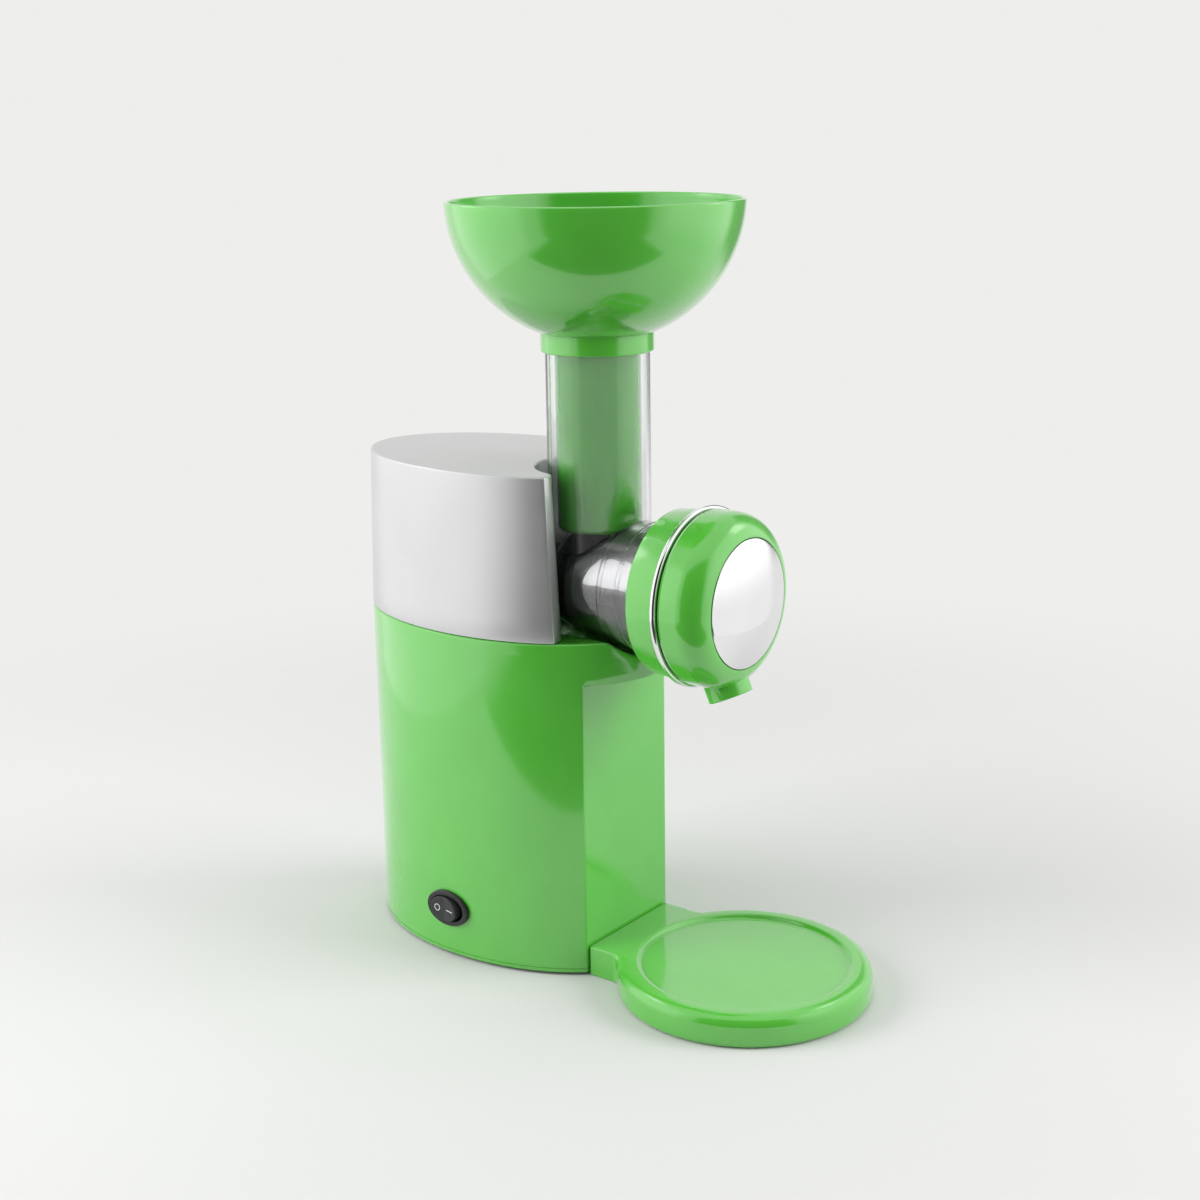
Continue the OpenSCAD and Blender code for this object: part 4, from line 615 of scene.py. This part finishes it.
def coverLoop(look, z):
    # from the back: ellipse (a sin t, b cos t), rounded corner, front strip, lip arc, recess arc to x = 0
    k = (z - look["low"]) / (look["top"] - look["low"])
    a, b, front = (look[low] + (look[top] - look[low]) * k for low, top in
                   (("lowWidth", "topWidth"), ("lowLength", "topLength"), ("lowFront", "topFront")))
    turnAt = math.acos(front / b)
    edge = np.array([a * math.sin(turnAt), front])
    away = np.array([a * math.cos(turnAt), -b * math.sin(turnAt)])
    away /= np.linalg.norm(away)
    corner = softOutline([tuple(edge + away * 10), (*edge, look["cornerRound"]), (0, front)], 7)[1:-1]
    used = np.linalg.norm(corner[0] - edge)
    speed = math.hypot(a * math.cos(turnAt), b * math.sin(turnAt))
    t = np.linspace(math.pi, turnAt + used / speed, 100)[:-1]
    side = np.stack([a * np.sin(t), b * np.cos(t)], 1)
    side[0, 0] = 0
    lip, bore = look["lipRadius"], look["recessRadius"]
    lipX = math.sqrt((bore + lip) ** 2 - (layout["tubeForward"] - front + lip) ** 2)
    strip = np.stack([np.linspace(corner[-1, 0] - 0.8, lipX + 0.2, 6), np.full(6, front)], 1)
    toBore = math.atan2(layout["tubeForward"] - (front - lip), -lipX)
    t = np.linspace(math.pi / 2, toBore, 16)
    lipArc = np.stack([lipX + lip * np.cos(t), front - lip + lip * np.sin(t)], 1)
    t = np.linspace(toBore - math.pi, -math.pi / 2, 44)[1:]
    boreArc = np.stack([bore * np.cos(t), layout["tubeForward"] + bore * np.sin(t)], 1)
    boreArc[-1, 0] = 0
    return fullLoop(np.concatenate([side, corner, strip, lipArc, boreArc]))


def makeCover(look):
    r, low, top = look["edgeRound"], look["low"], look["top"]
    turn = np.linspace(0, math.pi / 2, 7)
    levels = [(0.5, low), (0.15, low + 0.15), (0, low + 0.5)]
    levels += [(0, z) for z in np.linspace(low + 12, top - r, 7)]
    levels += list(zip(r * (1 - np.cos(turn[1:])), top - r * (1 - np.sin(turn[1:]))))
    levels += [(r + 0.1, top)]
    rows = []
    for inset, z in levels:
        loop = coverLoop(look, z)
        rows.append(stood(loop - sidewaysOf(loop) * inset, z))
    # the inner wall is the same loop with every measure moved in by the wall
    w = look["wall"]
    shift = dict.fromkeys(("lowWidth", "topWidth", "lowLength", "topLength", "lowFront", "topFront",
                           "lipRadius"), -w)
    shift |= {"recessRadius": w, "cornerRound": 0.5 - look["cornerRound"]}
    inner = {key: value + shift.get(key, 0) for key, value in look.items()}
    within = [stood(coverLoop(inner, z), z) for z in (top - w, low + 12, low)]
    # both lids run from their edge towards a middle far enough back to see every point of the edge
    middle = np.array([0, layout["bodyMiddle"] + look["lidMiddle"], 0])
    for around, lid in ((within, 0), (rows, len(rows))):
        edge = around[0] if lid == 0 else around[-1]
        centre = middle + (0, 0, edge[0, 2])
        for k in (0.7, 0.35, 0):
            around.insert(0 if lid == 0 else len(around), centre + (edge - centre) * k)
    obj = makePiece("coverShell", np.stack(within + rows))
    combine(obj, "DIFFERENCE", onDrumAxis(rod(look["boreRadius"], look["boreFrom"], look["boreTo"]), 96))
    finishPiece(obj, "silver_paint", "root", "upper_cover")


# feed bowl, plunger and chute

bowl = {"radius": 75.0, "depth": 73.0, "centre": 402.0, "rim": 400.0, "neckRadius": 30.35, "wall": 2.2,
        "rimRound": 0.9, "floor": 338.0, "collarRadius": 28.85, "collarLow": 325.4, "skirtRadius": 26.85,
        "spigotRadius": 19.95, "spigotLow": 326.3, "seat": 334.3, "bendHeight": 2.5, "bendFrom": 5.5,
        "bendTo": 12, "floorRing": 20}


def makeBowl(look):
    # wall: ellipse r = a cos t, z = c + b sin t outside, the same less the wall inside
    a, b, c, floor, top = look["radius"], look["depth"], look["centre"], look["floor"], look["rim"]
    soft = look["rimRound"]
    t = np.linspace(-math.acos(look["neckRadius"] / a), math.asin((top - c - soft) / b), 40)
    outer = np.stack([a * np.cos(t), c + b * np.sin(t)], 1)
    ai, bi = a - look["wall"], b - look["wall"]
    t = np.linspace(math.asin((top - c - soft) / bi), math.asin((floor + look["bendHeight"] - c) / bi), 38)
    inner = np.stack([ai * np.cos(t), c + bi * np.sin(t)], 1)
    u = np.linspace(0, math.pi, 9)[1:-1]
    middle, half = (outer[-1, 0] + inner[0, 0]) / 2, (outer[-1, 0] - inner[0, 0]) / 2
    rim = np.stack([middle + half * np.cos(u), top - soft + soft * np.sin(u)], 1)
    # the floor meets the wall in a soft curve
    k = np.linspace(0, 1, 8)[1:, None]
    start = inner[-1]
    corner, end = (np.array([start[0] - look[reach], floor]) for reach in ("bendFrom", "bendTo"))
    bend = (1 - k) ** 2 * start + 2 * k * (1 - k) * corner + k ** 2 * end
    spigot, skirt, collar = look["spigotRadius"], look["skirtRadius"], look["collarRadius"]
    low, seat, collarLow, neck = look["spigotLow"], look["seat"], look["collarLow"], outer[0, 1]
    below = softOutline([(0, low), (spigot, low, 0.5), (spigot, seat, 0.3), (skirt, seat, 0.4),
                         (skirt, collarLow, 0.3), (collar, collarLow, 0.9), (collar, neck - 0.1, 0.5),
                         (outer[0, 0] - 0.9, neck + 0.1)], 5)
    outline = np.concatenate([below, outer, rim, inner, bend, [(look["floorRing"], floor), (0, floor)]])
    obj = makePiece("bowlShell", onTubeAxis(outline, 160))
    finishPiece(obj, "green_plastic", "plunger", "plunger_bowl")


plunger = {"radius": 22.0, "wall": 2.0, "low": 234.5, "top": 334.3, "edgeRound": 3.0, "innerRound": 1.5,
           "floorWall": 3, "tipRadius": 5.8, "tipTaper": 0.5, "tipLow": 223.5, "tipRound": 1.6}


def makePlunger(look):
    r, low, top, inner = look["radius"], look["low"], look["top"], look["radius"] - look["wall"]
    floor = low + look["floorWall"]
    stem = softOutline([(0, low), (r, low, look["edgeRound"]), (r, top, 0.4), (inner, top, 0.4),
                        (inner, floor, look["innerRound"]), (0, floor)], 7)
    obj = makePiece("stemShell", onTubeAxis(stem, 128))
    finishPiece(obj, "green_plastic", "plunger", "plunger_stem")
    radius, tipLow, tipTop = look["tipRadius"], look["tipLow"], low - 0.02
    tip = softOutline([(0, tipLow), (radius - look["tipTaper"], tipLow, look["tipRound"]),
                       (radius, tipTop), (0, tipTop)], 6)
    obj = makePiece("plungerTip", onTubeAxis(tip, 64))
    finishPiece(obj, "black_rubber", "plunger", "plunger_tip")


chute = {"backRadius": 31.5, "frontRadius": 35.0, "ringBack": 104.0, "flangeBack": 106.7, "mouth": 110.0,
         "flangeRadius": 37.4, "wall": 2.0, "tubeRadius": 26.5, "tubeWall": 2.2, "tubeTop": 334.0,
         "boreRadius": 17.3, "boreFront": 16, "ribs": (80.0, 92.0), "ribRise": 0.22, "ribSoft": 0.28}


def makeChute(look):
    # outside: a ball, then a cone r = back + slope * (forward - tube), two faint moulded rings, and a flange
    rb, rf, f0, f1 = look["backRadius"], look["frontRadius"], layout["tubeForward"], look["ringBack"]
    axis, top, mouth, tr = layout["drumHeight"], look["tubeTop"], look["mouth"], look["tubeRadius"]
    t = np.linspace(0, math.pi / 2, 26)
    ball = np.stack([rb * np.sin(t), f0 - rb * np.cos(t)], 1)
    along = np.sort(np.concatenate([np.linspace(f0 + 2, f1, 12)]
                                   + [rib + np.linspace(-0.6, 0.6, 9) for rib in look["ribs"]]))
    rise = sum(look["ribRise"] * np.exp(-((along - rib) / look["ribSoft"]) ** 2) for rib in look["ribs"])
    cone = np.stack([rb + (rf - rb) * (along - f0) / (f1 - f0) + rise, along], 1)
    fr, flangeBack = look["flangeRadius"], look["flangeBack"]
    flange = softOutline([(rf, f1), (rf, flangeBack, 0.6), (fr, flangeBack, 0.5), (fr, mouth, 0.5),
                          (0, mouth)], 4)[1:]
    obj = makePiece("clearChute", onDrumAxis(np.concatenate([ball, cone, flange]), 144))
    tube = softOutline([(0, axis), (tr, axis), (tr, top, 0.5), (0, top)], 5)
    combine(obj, "UNION", onTubeAxis(tube, 144))
    w = look["wall"]
    ball = np.stack([(rb - w) * np.sin(t), f0 - (rb - w) * np.cos(t)], 1)
    cavity = np.concatenate([ball, [(rf - w, f1), (rf - w, mouth + 2), (0, mouth + 2)]])
    combine(obj, "DIFFERENCE", onDrumAxis(cavity, 144))
    combine(obj, "DIFFERENCE", onTubeAxis(rod(tr - look["tubeWall"], axis - 0.5, top + 2), 144))
    combine(obj, "DIFFERENCE", onDrumAxis(rod(look["boreRadius"], f0 - rb - 2, f0 - look["boreFront"]), 96))
    finishPiece(obj, "clear_plastic", "root", "chute", sharp=28)


# lock ring, cap and dome

lock = {"back": 104.0, "backRadius": 42.3, "frontRadius": 43.9, "front": 121.2, "holeRadius": 35.5,
        "innerRadius": 40.2, "backWall": 2.5, "beadRadius": 46.1, "beadFront": 124.25, "beadRound": 1.35}


def makeLock(look):
    hole, inner, back, front = look["holeRadius"], look["innerRadius"], look["back"], look["front"]
    step = back + look["backWall"]
    ring = softOutline([
        (hole, back, 0.5), (look["backRadius"], back, 1.5), (look["frontRadius"], front - 0.05, 0.4),
        (inner, front - 0.05), (inner, step, 0.4), (hole, step, 0.4)], 6)
    obj = makePiece("lockShell", onDrumAxis(ring, 160), loopRows=True)
    finishPiece(obj, "green_plastic", "lock", "lock_ring")
    beadRadius, beadFront, soft = look["beadRadius"], look["beadFront"], look["beadRound"]
    bead = softOutline([(inner, front), (beadRadius, front, soft), (beadRadius, beadFront, soft),
                        (inner, beadFront)], 9)
    obj = makePiece("chromeBead", onDrumAxis(bead, 192), loopRows=True)
    finishPiece(obj, "chrome", "lock", "chrome_ring", sharp=60)


cap = {"spigotBack": 112.0, "spigotInner": 37.5, "spigotOuter": 39.9, "back": 124.6, "backRadius": 43.8,
       "radius": 44.6, "shoulder": 135.0, "shoulderRadius": 14.0, "innerTighter": 4.5, "front": 149.0,
       "wall": 2.5, "domeRadius": 32.6, "domeSeat": 147.0, "domeRise": 5.5, "domeGap": 0.45,
       "nozzleRadius": 11.6, "nozzleWall": 2.6, "nozzleForward": 138.8, "nozzleEnd": 157.2,
       "nozzleLean": 24.0, "nozzleLength": 14, "boreLength": 12.4, "boreFlare": 0.6}


def makeCap(look):
    # side, then a quarter circle centred at (radius - shoulder radius, shoulder) down to the dome's seat
    r, sr, back, wall = look["radius"], look["shoulderRadius"], look["back"], look["wall"]
    domeSeat, shoulderAt, spigotBack = look["domeSeat"], look["shoulder"], look["spigotBack"]
    seatRadius = look["domeRadius"] + look["domeGap"]
    t = np.linspace(0, math.acos((seatRadius - (r - sr)) / sr), 22)
    shoulder = np.stack([r - sr + sr * np.cos(t), shoulderAt + sr * np.sin(t)], 1)
    begin = softOutline([(0, spigotBack), (look["spigotOuter"], spigotBack, 0.5),
                         (look["spigotOuter"], back, 0.2), (look["backRadius"], back, 0.5),
                         (r, back + 2, 1.2), (r, shoulderAt)], 5)[:-1]
    end = softOutline([tuple(shoulder[-1]), (seatRadius, domeSeat, 0.2), (0, domeSeat)], 3)[1:]
    lip = np.array([(seatRadius + 0.08, shoulder[-1, 1] - 0.12)])
    obj = makePiece("capShell", onDrumAxis(np.concatenate([begin, shoulder[:-1], lip, end]), 176))
    # the nozzle leans forward from its foot
    lean = math.radians(look["nozzleLean"])
    up = (0, math.sin(lean), math.cos(lean))
    foot = (0, layout["bodyMiddle"] - look["nozzleForward"], look["nozzleEnd"])
    nr, length = look["nozzleRadius"], look["nozzleLength"]
    nozzle = softOutline([(0, 0), (nr, 0, 0.7), (nr, length), (0, length)], 5)
    combine(obj, "UNION", turned(nozzle, foot, up, (1, 0, 0), 112))
    t = np.linspace(0, math.pi / 2, 14)
    ir, isr, spigot = r - wall, sr - look["innerTighter"], look["spigotInner"]
    cavity = np.concatenate([
        [(0, spigotBack - 2), (spigot, spigotBack - 2), (spigot, back + 1), (ir, back + 3)],
        np.stack([ir - isr + isr * np.cos(t), shoulderAt + isr * np.sin(t)], 1), [(0, shoulderAt + isr)]])
    combine(obj, "DIFFERENCE", onDrumAxis(cavity, 144))
    br, end = nr - look["nozzleWall"], look["boreLength"]
    flared = br + look["boreFlare"]
    bore = softOutline([(0, -2), (flared, -2), (flared, 0), (br, 0.7), (br, end), (0, end)])
    combine(obj, "DIFFERENCE", turned(bore, foot, up, (1, 0, 0), 96))
    finishPiece(obj, "green_plastic", "cap", "front_cap", sharp=32)

    # dome: z = rise * (1 - (r/R)^2) softened into a rounded edge
    dr, seat = look["domeRadius"], look["domeSeat"] + 0.05
    rr = np.linspace(0, dr - 0.7, 30)
    dome = np.stack([rr, look["front"] + look["domeRise"] * (1 - (rr / dr) ** 2)], 1)
    edge = softOutline([tuple(dome[-1]), (dr, look["front"] - 0.1, 0.35), (dr, seat, 0.2), (0, seat)], 4)[1:]
    obj = makePiece("domeShell", onDrumAxis(np.concatenate([dome, edge]), 160))
    finishPiece(obj, "chrome", "cap", "chrome_dome", finish="dome_chrome")


plate = {"radius": 65.87, "height": 16.6, "lowRound": 3.0, "edgeRound": 6.5, "neckRound": 1.4,
         "neckLowRound": 0.8, "rimInner": 55.05, "rimWidth": 2.4, "sinkDepth": 2.2, "neckHalf": 34.5,
         "neckBack": 72.5, "blend": 8.0, "wall": 3.0, "cornerRound": 1.2, "tongueHalf": 24.0,
         "tongueLow": 1.5, "tongueHigh": 2.7, "tongueBack": 60.7, "tongueMiddle": 68, "tongueFront": 76}


def makePlate(look):
    # outline from the front: circle, blend arc of radius b centred outside the neck, neck side, neck end
    r, b, w, mid = look["radius"], look["blend"], look["neckHalf"], layout["plateForward"]
    blendX = w + b
    drop = math.sqrt((r + b) ** 2 - blendX ** 2)
    meet = math.atan2(blendX, -drop)
    t = np.linspace(0, meet, 120)
    ring = np.stack([r * np.sin(t), mid + r * np.cos(t)], 1)
    t = np.linspace(meet + math.pi, 1.5 * math.pi, 22)[1:]
    blend = np.stack([blendX + b * np.sin(t), mid - drop + b * np.cos(t)], 1)
    blendEnd = len(ring) + len(blend)
    neckBack = look["neckBack"]
    corner = softOutline([(w, blend[-1, 1]), (w, neckBack, look["cornerRound"]), (0, neckBack)], 6)[1:-1]
    side = np.stack([np.full(7, w), np.linspace(blend[-1, 1] - 1, corner[0, 1] + 0.6, 7)], 1)
    backEdge = np.stack([np.linspace(corner[-1, 0] - 0.6, 0, 22), np.full(22, neckBack)], 1)
    half = np.concatenate([ring, blend, side, corner, backEdge])
    half[0, 0] = half[-1, 0] = 0
    share = np.concatenate([np.zeros(len(ring)), np.linspace(0, 1, len(blend) + 1)[1:] ** 0.7,
                            np.ones(len(half) - blendEnd)])
    loop = fullLoop(half)
    share = np.concatenate([share, share[-2:0:-1]])[:, None]
    out = sidewaysOf(loop - (0, mid))
    centre = np.array([0, mid])
    edge = look["edgeRound"] * (1 - share) + look["neckRound"] * share
    low = look["lowRound"] * (1 - share) + look["neckLowRound"] * share
    turn = np.linspace(0, math.pi / 2, 9)
    h, sink = look["height"], look["sinkDepth"]
    ceiling = h - sink - look["wall"]
    # the hollow below: rows at shares of the outline about the centre
    rows = [stood(centre + (loop - centre) * k, z) for k, z in (
        (0, ceiling), (0.45, ceiling), (0.88, ceiling), (0.93, ceiling - 1.2), (0.93, 0.3), (0.935, 0))]
    rows += [stood(loop - out * low * (1 - math.sin(a)), (low * (1 - math.cos(a)))[:, 0]) for a in turn]
    rows += [stood(loop - out * edge * (1 - math.cos(a)), (h - edge * (1 - math.sin(a)))[:, 0]) for a in turn]
    flat = loop - out * edge
    away = loop - centre
    away = away / np.linalg.norm(away, axis=1)[:, None]
    rim, width = look["rimInner"], look["rimWidth"]
    rows += [stood(flat + (centre + away * (rim + width) - flat) * k, h) for k in (0.1, 0.5)]
    # the step down into the sunk face, as (radius past the rim, height)
    rows += [stood(centre + away * (rim + radius), h + z) for radius, z in (
        (width, 0), (1.3, 0), (0.65, -0.1), (0.2, -0.38), (-0.2, -0.9), (-0.6, -1.5), (-1.0, -1.95),
        (-1.6, 0.05 - sink), (-2.4, -sink), (-15, -sink), (-35, -sink), (-rim, -sink))]
    # the tongue that lies under the body
    half, behind, front = look["tongueHalf"], look["tongueBack"], look["tongueFront"]
    tongue = fullLoop(softOutline([(0, behind), (half, behind, 1.5), (half, front), (0, front)], 6))
    tongue[:, 1] = np.minimum(tongue[:, 1], front)
    shut = np.broadcast_to((0, look["tongueMiddle"]), tongue.shape)
    low, high = look["tongueLow"], look["tongueHigh"]
    back = [stood(outline, z) for outline, z in ((shut, low), (tongue, low), (tongue, high), (shut, high))]
    obj = makePiece("plateShell", np.stack(rows), np.stack(back))
    finishPiece(obj, "green_plastic", "root", "cup_plate", sharp=38)


makeHousing(housing)
print("housing made")
makeSwitch(switch)
makeCover(cover)
print("cover and switch made")
makeBowl(bowl)
makePlunger(plunger)
makeChute(chute)
print("bowl, plunger and chute made")
makeLock(lock)
makeCap(cap)
makePlate(plate)
print("lock ring, cap, dome and plate made")


# stage, light and camera

studio = {"backdrop": (0.855, 0.855, 0.845), "ambient": 0.42, "floorColour": (0.66, 0.66, 0.655),
          "floorRough": 0.75, "floorGloss": 0.2, "floorSize": 2.4, "fadeFrom": 0.28, "fadeTo": 0.8}


def makeStage(look):
    scene = bpy.context.scene
    scene.view_settings.view_transform = "Standard"
    world = bpy.data.worlds.new("studio")
    scene.world = world
    world.use_nodes = True
    tree = world.node_tree
    path = addNode(tree, "ShaderNodeLightPath").outputs
    seen = calculate(tree, "ADD", path["Is Camera Ray"], path["Is Glossy Ray"], use_clamp=True)
    seen = calculate(tree, "ADD", seen, path["Is Transmission Ray"], use_clamp=True)
    unlit = calculate(tree, "LESS_THAN", path["Diffuse Depth"], 0.5)   # no matt surface on the ray's way yet
    shown = calculate(tree, "MULTIPLY", seen, unlit)
    back = tree.nodes["Background"].inputs
    join(tree, (mixColours(tree, shown, (look["ambient"],) * 3, look["backdrop"]), back["Color"]))
    back["Strength"].default_value = 1.0

    # floor: a disc whose material fades into the backdrop with the distance from the object
    t = np.linspace(0, 2 * math.pi, 96, endpoint=False)
    radii = np.array([0, 0.3, 0.6, 1.0])[:, None] * look["floorSize"] * 1000
    disc = np.stack([radii * np.cos(t), radii * np.sin(t), np.zeros((4, 96)) - 0.05], -1)
    floor = makePiece("studioFloor", disc)
    finish = bpy.data.materials.new("studio floor paint")
    finish.use_nodes = True
    tree = finish.node_tree
    shader = tree.nodes["Principled BSDF"]
    shader.inputs["Base Color"].default_value = (*look["floorColour"], 1)
    shader.inputs["Roughness"].default_value = look["floorRough"]
    shader.inputs["Specular IOR Level"].default_value = look["floorGloss"]
    place = addNode(tree, "ShaderNodeTexCoord").outputs["Object"]
    away = addNode(tree, "ShaderNodeVectorMath", {0: place}, operation="LENGTH").outputs["Value"]
    fade = rangeOf(tree, away, 0.0, 1.0, look["fadeFrom"], look["fadeTo"], interpolation_type="SMOOTHSTEP")
    thinOut(tree, fade, shader.outputs["BSDF"], addNode(tree, "ShaderNodeBsdfTransparent").outputs["BSDF"])
    floor.data.materials.append(finish)
    floor.data.shade_smooth()


def thinOut(tree, share, first, second):
    blend = addNode(tree, "ShaderNodeMixShader", {0: share, 1: first, 2: second})
    join(tree, (blend.outputs["Shader"], tree.nodes["Material Output"].inputs["Surface"]))


# side softboxes stand left and right of the camera's axis, the front of the room is dark
lamps = {
    "leftSoftbox": {"place": (-0.95, 0.95, 0.72), "target": (0, 0, 0.22), "size": 1.0, "power": 20.0},
    "rightSoftbox": {"place": (0.68, -1.3, 0.74), "target": (0, 0, 0.22), "size": 1.0, "power": 20.0},
    "topSoftbox": {"place": (0.1, 0.1, 1.6), "target": (0, 0, 0.2), "size": 1.4, "power": 8.0},
}
# Cards show only in reflections. The bearing of a card's middle is from the camera's axis, in degrees; a card
# with a depth lies on the floor; its edges are soft; lowGlow is the glow near the floor.
cards = {
    "leftCard": {"bearing": 92.0, "away": 0.5, "halfWidth": 0.46, "low": 0.0, "high": 0.75,
                 "glow": 1.35, "lowGlow": 1.25, "soft": 0.16},
    "rightCard": {"bearing": -84.0, "away": 0.5, "halfWidth": 0.42, "low": 0.0, "high": 0.75,
                  "glow": 1.35, "lowGlow": 0.95, "soft": 0.16},
    "frontCard": {"bearing": 0.0, "away": 0.62, "halfWidth": 0.62, "low": 0.0, "high": 1.0,
                  "glow": 0.03, "soft": 0.2},
    "frontFloorCard": {"bearing": 0.0, "away": 0.27, "halfWidth": 0.5, "low": 0.001, "depth": 0.5,
                       "glow": 0.05, "soft": 0.1},
    "cornerCard": {"bearing": -134.0, "away": 0.48, "halfWidth": 0.17, "low": 0.155, "high": 0.7,
                   "glow": 0.22, "soft": 0.1},
    "leftSpot": {"bearing": 107.0, "away": 0.49, "halfWidth": 0.13, "low": 0.42, "high": 0.72,
                 "glow": 2.9, "soft": 0.09},
    "rightSpot": {"bearing": -100.0, "away": 0.49, "halfWidth": 0.13, "low": 0.42, "high": 0.72,
                  "glow": 2.9, "soft": 0.09},
}


def asMatrix(right, up, back, place):
    matrix = np.eye(4)
    matrix[:3] = np.stack([right, up, back, place], 1)
    return Matrix(matrix.tolist())


def makeLamps(softboxes):
    # each lamp's -Z points from its place to its target, with +Y kept as high as it can be
    for name, look in softboxes.items():
        lamp = bpy.data.lights.new(name, "AREA")
        lamp.shape = "RECTANGLE"
        lamp.size = lamp.size_y = look["size"]
        lamp.energy = look["power"]
        obj = placeObject(name, lamp)
        back = np.array(look["place"], float) - np.array(look["target"], float)
        back /= np.linalg.norm(back)
        right = np.cross((0, 0, 1), back)
        right /= np.linalg.norm(right)
        obj.matrix_world = asMatrix(right, np.cross(back, right), back, look["place"])
        obj.visible_camera = obj.visible_glossy = False


def makeCards(looks):
    # a standing card is a flat grid at its distance; a lying one reaches outwards from it
    axis = math.radians(90 - view["yaw"] + 180)
    for name, look in looks.items():
        turn = axis - math.radians(look["bearing"])
        out, across = np.array([math.cos(turn), math.sin(turn)]), np.array([-math.sin(turn), math.cos(turn)])
        side, rise = np.meshgrid(np.linspace(-1, 1, 9), np.linspace(0, 1, 7), indexing="ij")
        lying = "depth" in look
        height = look["depth"] if lying else look["high"] - look["low"]
        away = look["away"] + (rise * height if lying else 0 * rise)
        flat = away[..., None] * out + side[..., None] * look["halfWidth"] * across
        z = look["low"] + (0 if lying else height) * rise
        card = makePiece(name, np.concatenate([flat, z[..., None]], -1) * 1000, loopCols=False)
        # the edge attribute holds (-1 to 1 across, 0 to 1 up or outwards, 0)
        corners = np.zeros(len(card.data.vertices) * 3)
        card.data.vertices.foreach_get("co", corners)
        corners = corners.reshape(-1, 3)
        aside = corners[:, :2] @ across / look["halfWidth"]
        risen = corners[:, :2] @ out - look["away"] if lying else corners[:, 2] - look["low"]
        reach = np.stack([aside, risen / height, np.zeros(len(corners))], 1)
        place = card.data.attributes.new("edge", "FLOAT_VECTOR", "POINT")
        place.data.foreach_set("vector", reach.ravel().astype(np.float32))
        card.data.materials.append(makeCardPaint(name, look, height))
        card.visible_camera = card.visible_diffuse = card.visible_shadow = False
        card.visible_transmission = card.visible_volume_scatter = False


def makeCardPaint(name, look, height):
    # glow that thins out towards the card's edges
    finish = bpy.data.materials.new(name + " paint")
    finish.use_nodes = True
    tree = finish.node_tree
    tree.nodes.remove(tree.nodes["Principled BSDF"])
    spot = addNode(tree, "ShaderNodeAttribute", attribute_name="edge").outputs["Vector"]
    split = addNode(tree, "ShaderNodeSeparateXYZ", {"Vector": spot}).outputs

    def softEdge(value, start, end, low=0.0, high=1.0):
        return rangeOf(tree, value, low, high, start, end, interpolation_type="SMOOTHSTEP")

    soft = look["soft"] / height
    across = softEdge(calculate(tree, "ABSOLUTE", split["X"]), 1.0, 1.0 - look["soft"] / look["halfWidth"])
    share = calculate(tree, "MULTIPLY", softEdge(split["Y"], 1.0, 1.0 - soft), across)
    if look["low"] > 0.01:   # it hangs, so its lower edge is soft too
        share = calculate(tree, "MULTIPLY", softEdge(split["Y"], 0.0, soft), share)
    # the glow changes between 0.1 and 0.3 m above the floor
    lowGlow = look.get("lowGlow", look["glow"])
    strength = softEdge(split["Y"], 0.1 / height, 0.3 / height, lowGlow, look["glow"])
    glow = addNode(tree, "ShaderNodeEmission", {"Strength": strength}).outputs["Emission"]
    thinOut(tree, share, addNode(tree, "ShaderNodeBsdfTransparent").outputs["BSDF"], glow)
    return finish


view = {"place": (-0.749549, -0.571826, 0.446364), "yaw": 52.510, "pitch": 14.893, "roll": -0.885,
        "focalPixels": 1875.0, "imagePixels": 1200, "sensor": 36.0}


def makeCamera(look):
    # forward = (sin y cos p, cos y cos p, -sin p); right and up are turned about it by the roll
    y, p, r = (math.radians(look[k]) for k in ("yaw", "pitch", "roll"))
    forward = np.array([math.sin(y) * math.cos(p), math.cos(y) * math.cos(p), -math.sin(p)])
    right = np.array([math.cos(y), -math.sin(y), 0])
    up = np.cross(right, forward)
    right, up = right * math.cos(r) + up * math.sin(r), -right * math.sin(r) + up * math.cos(r)
    camera = bpy.data.cameras.new("photoCamera")
    camera.sensor_fit = "HORIZONTAL"
    camera.sensor_width = look["sensor"]
    camera.lens = look["sensor"] * look["focalPixels"] / look["imagePixels"]
    camera.clip_start, camera.clip_end = 0.05, 20
    obj = placeObject("photoCamera", camera)
    obj.matrix_world = asMatrix(right, up, -forward, look["place"])
    bpy.context.scene.camera = obj


makeStage(studio)
makeLamps(lamps)
makeCamera(view)
makeCards(cards)
print("stage, lamps and camera made")
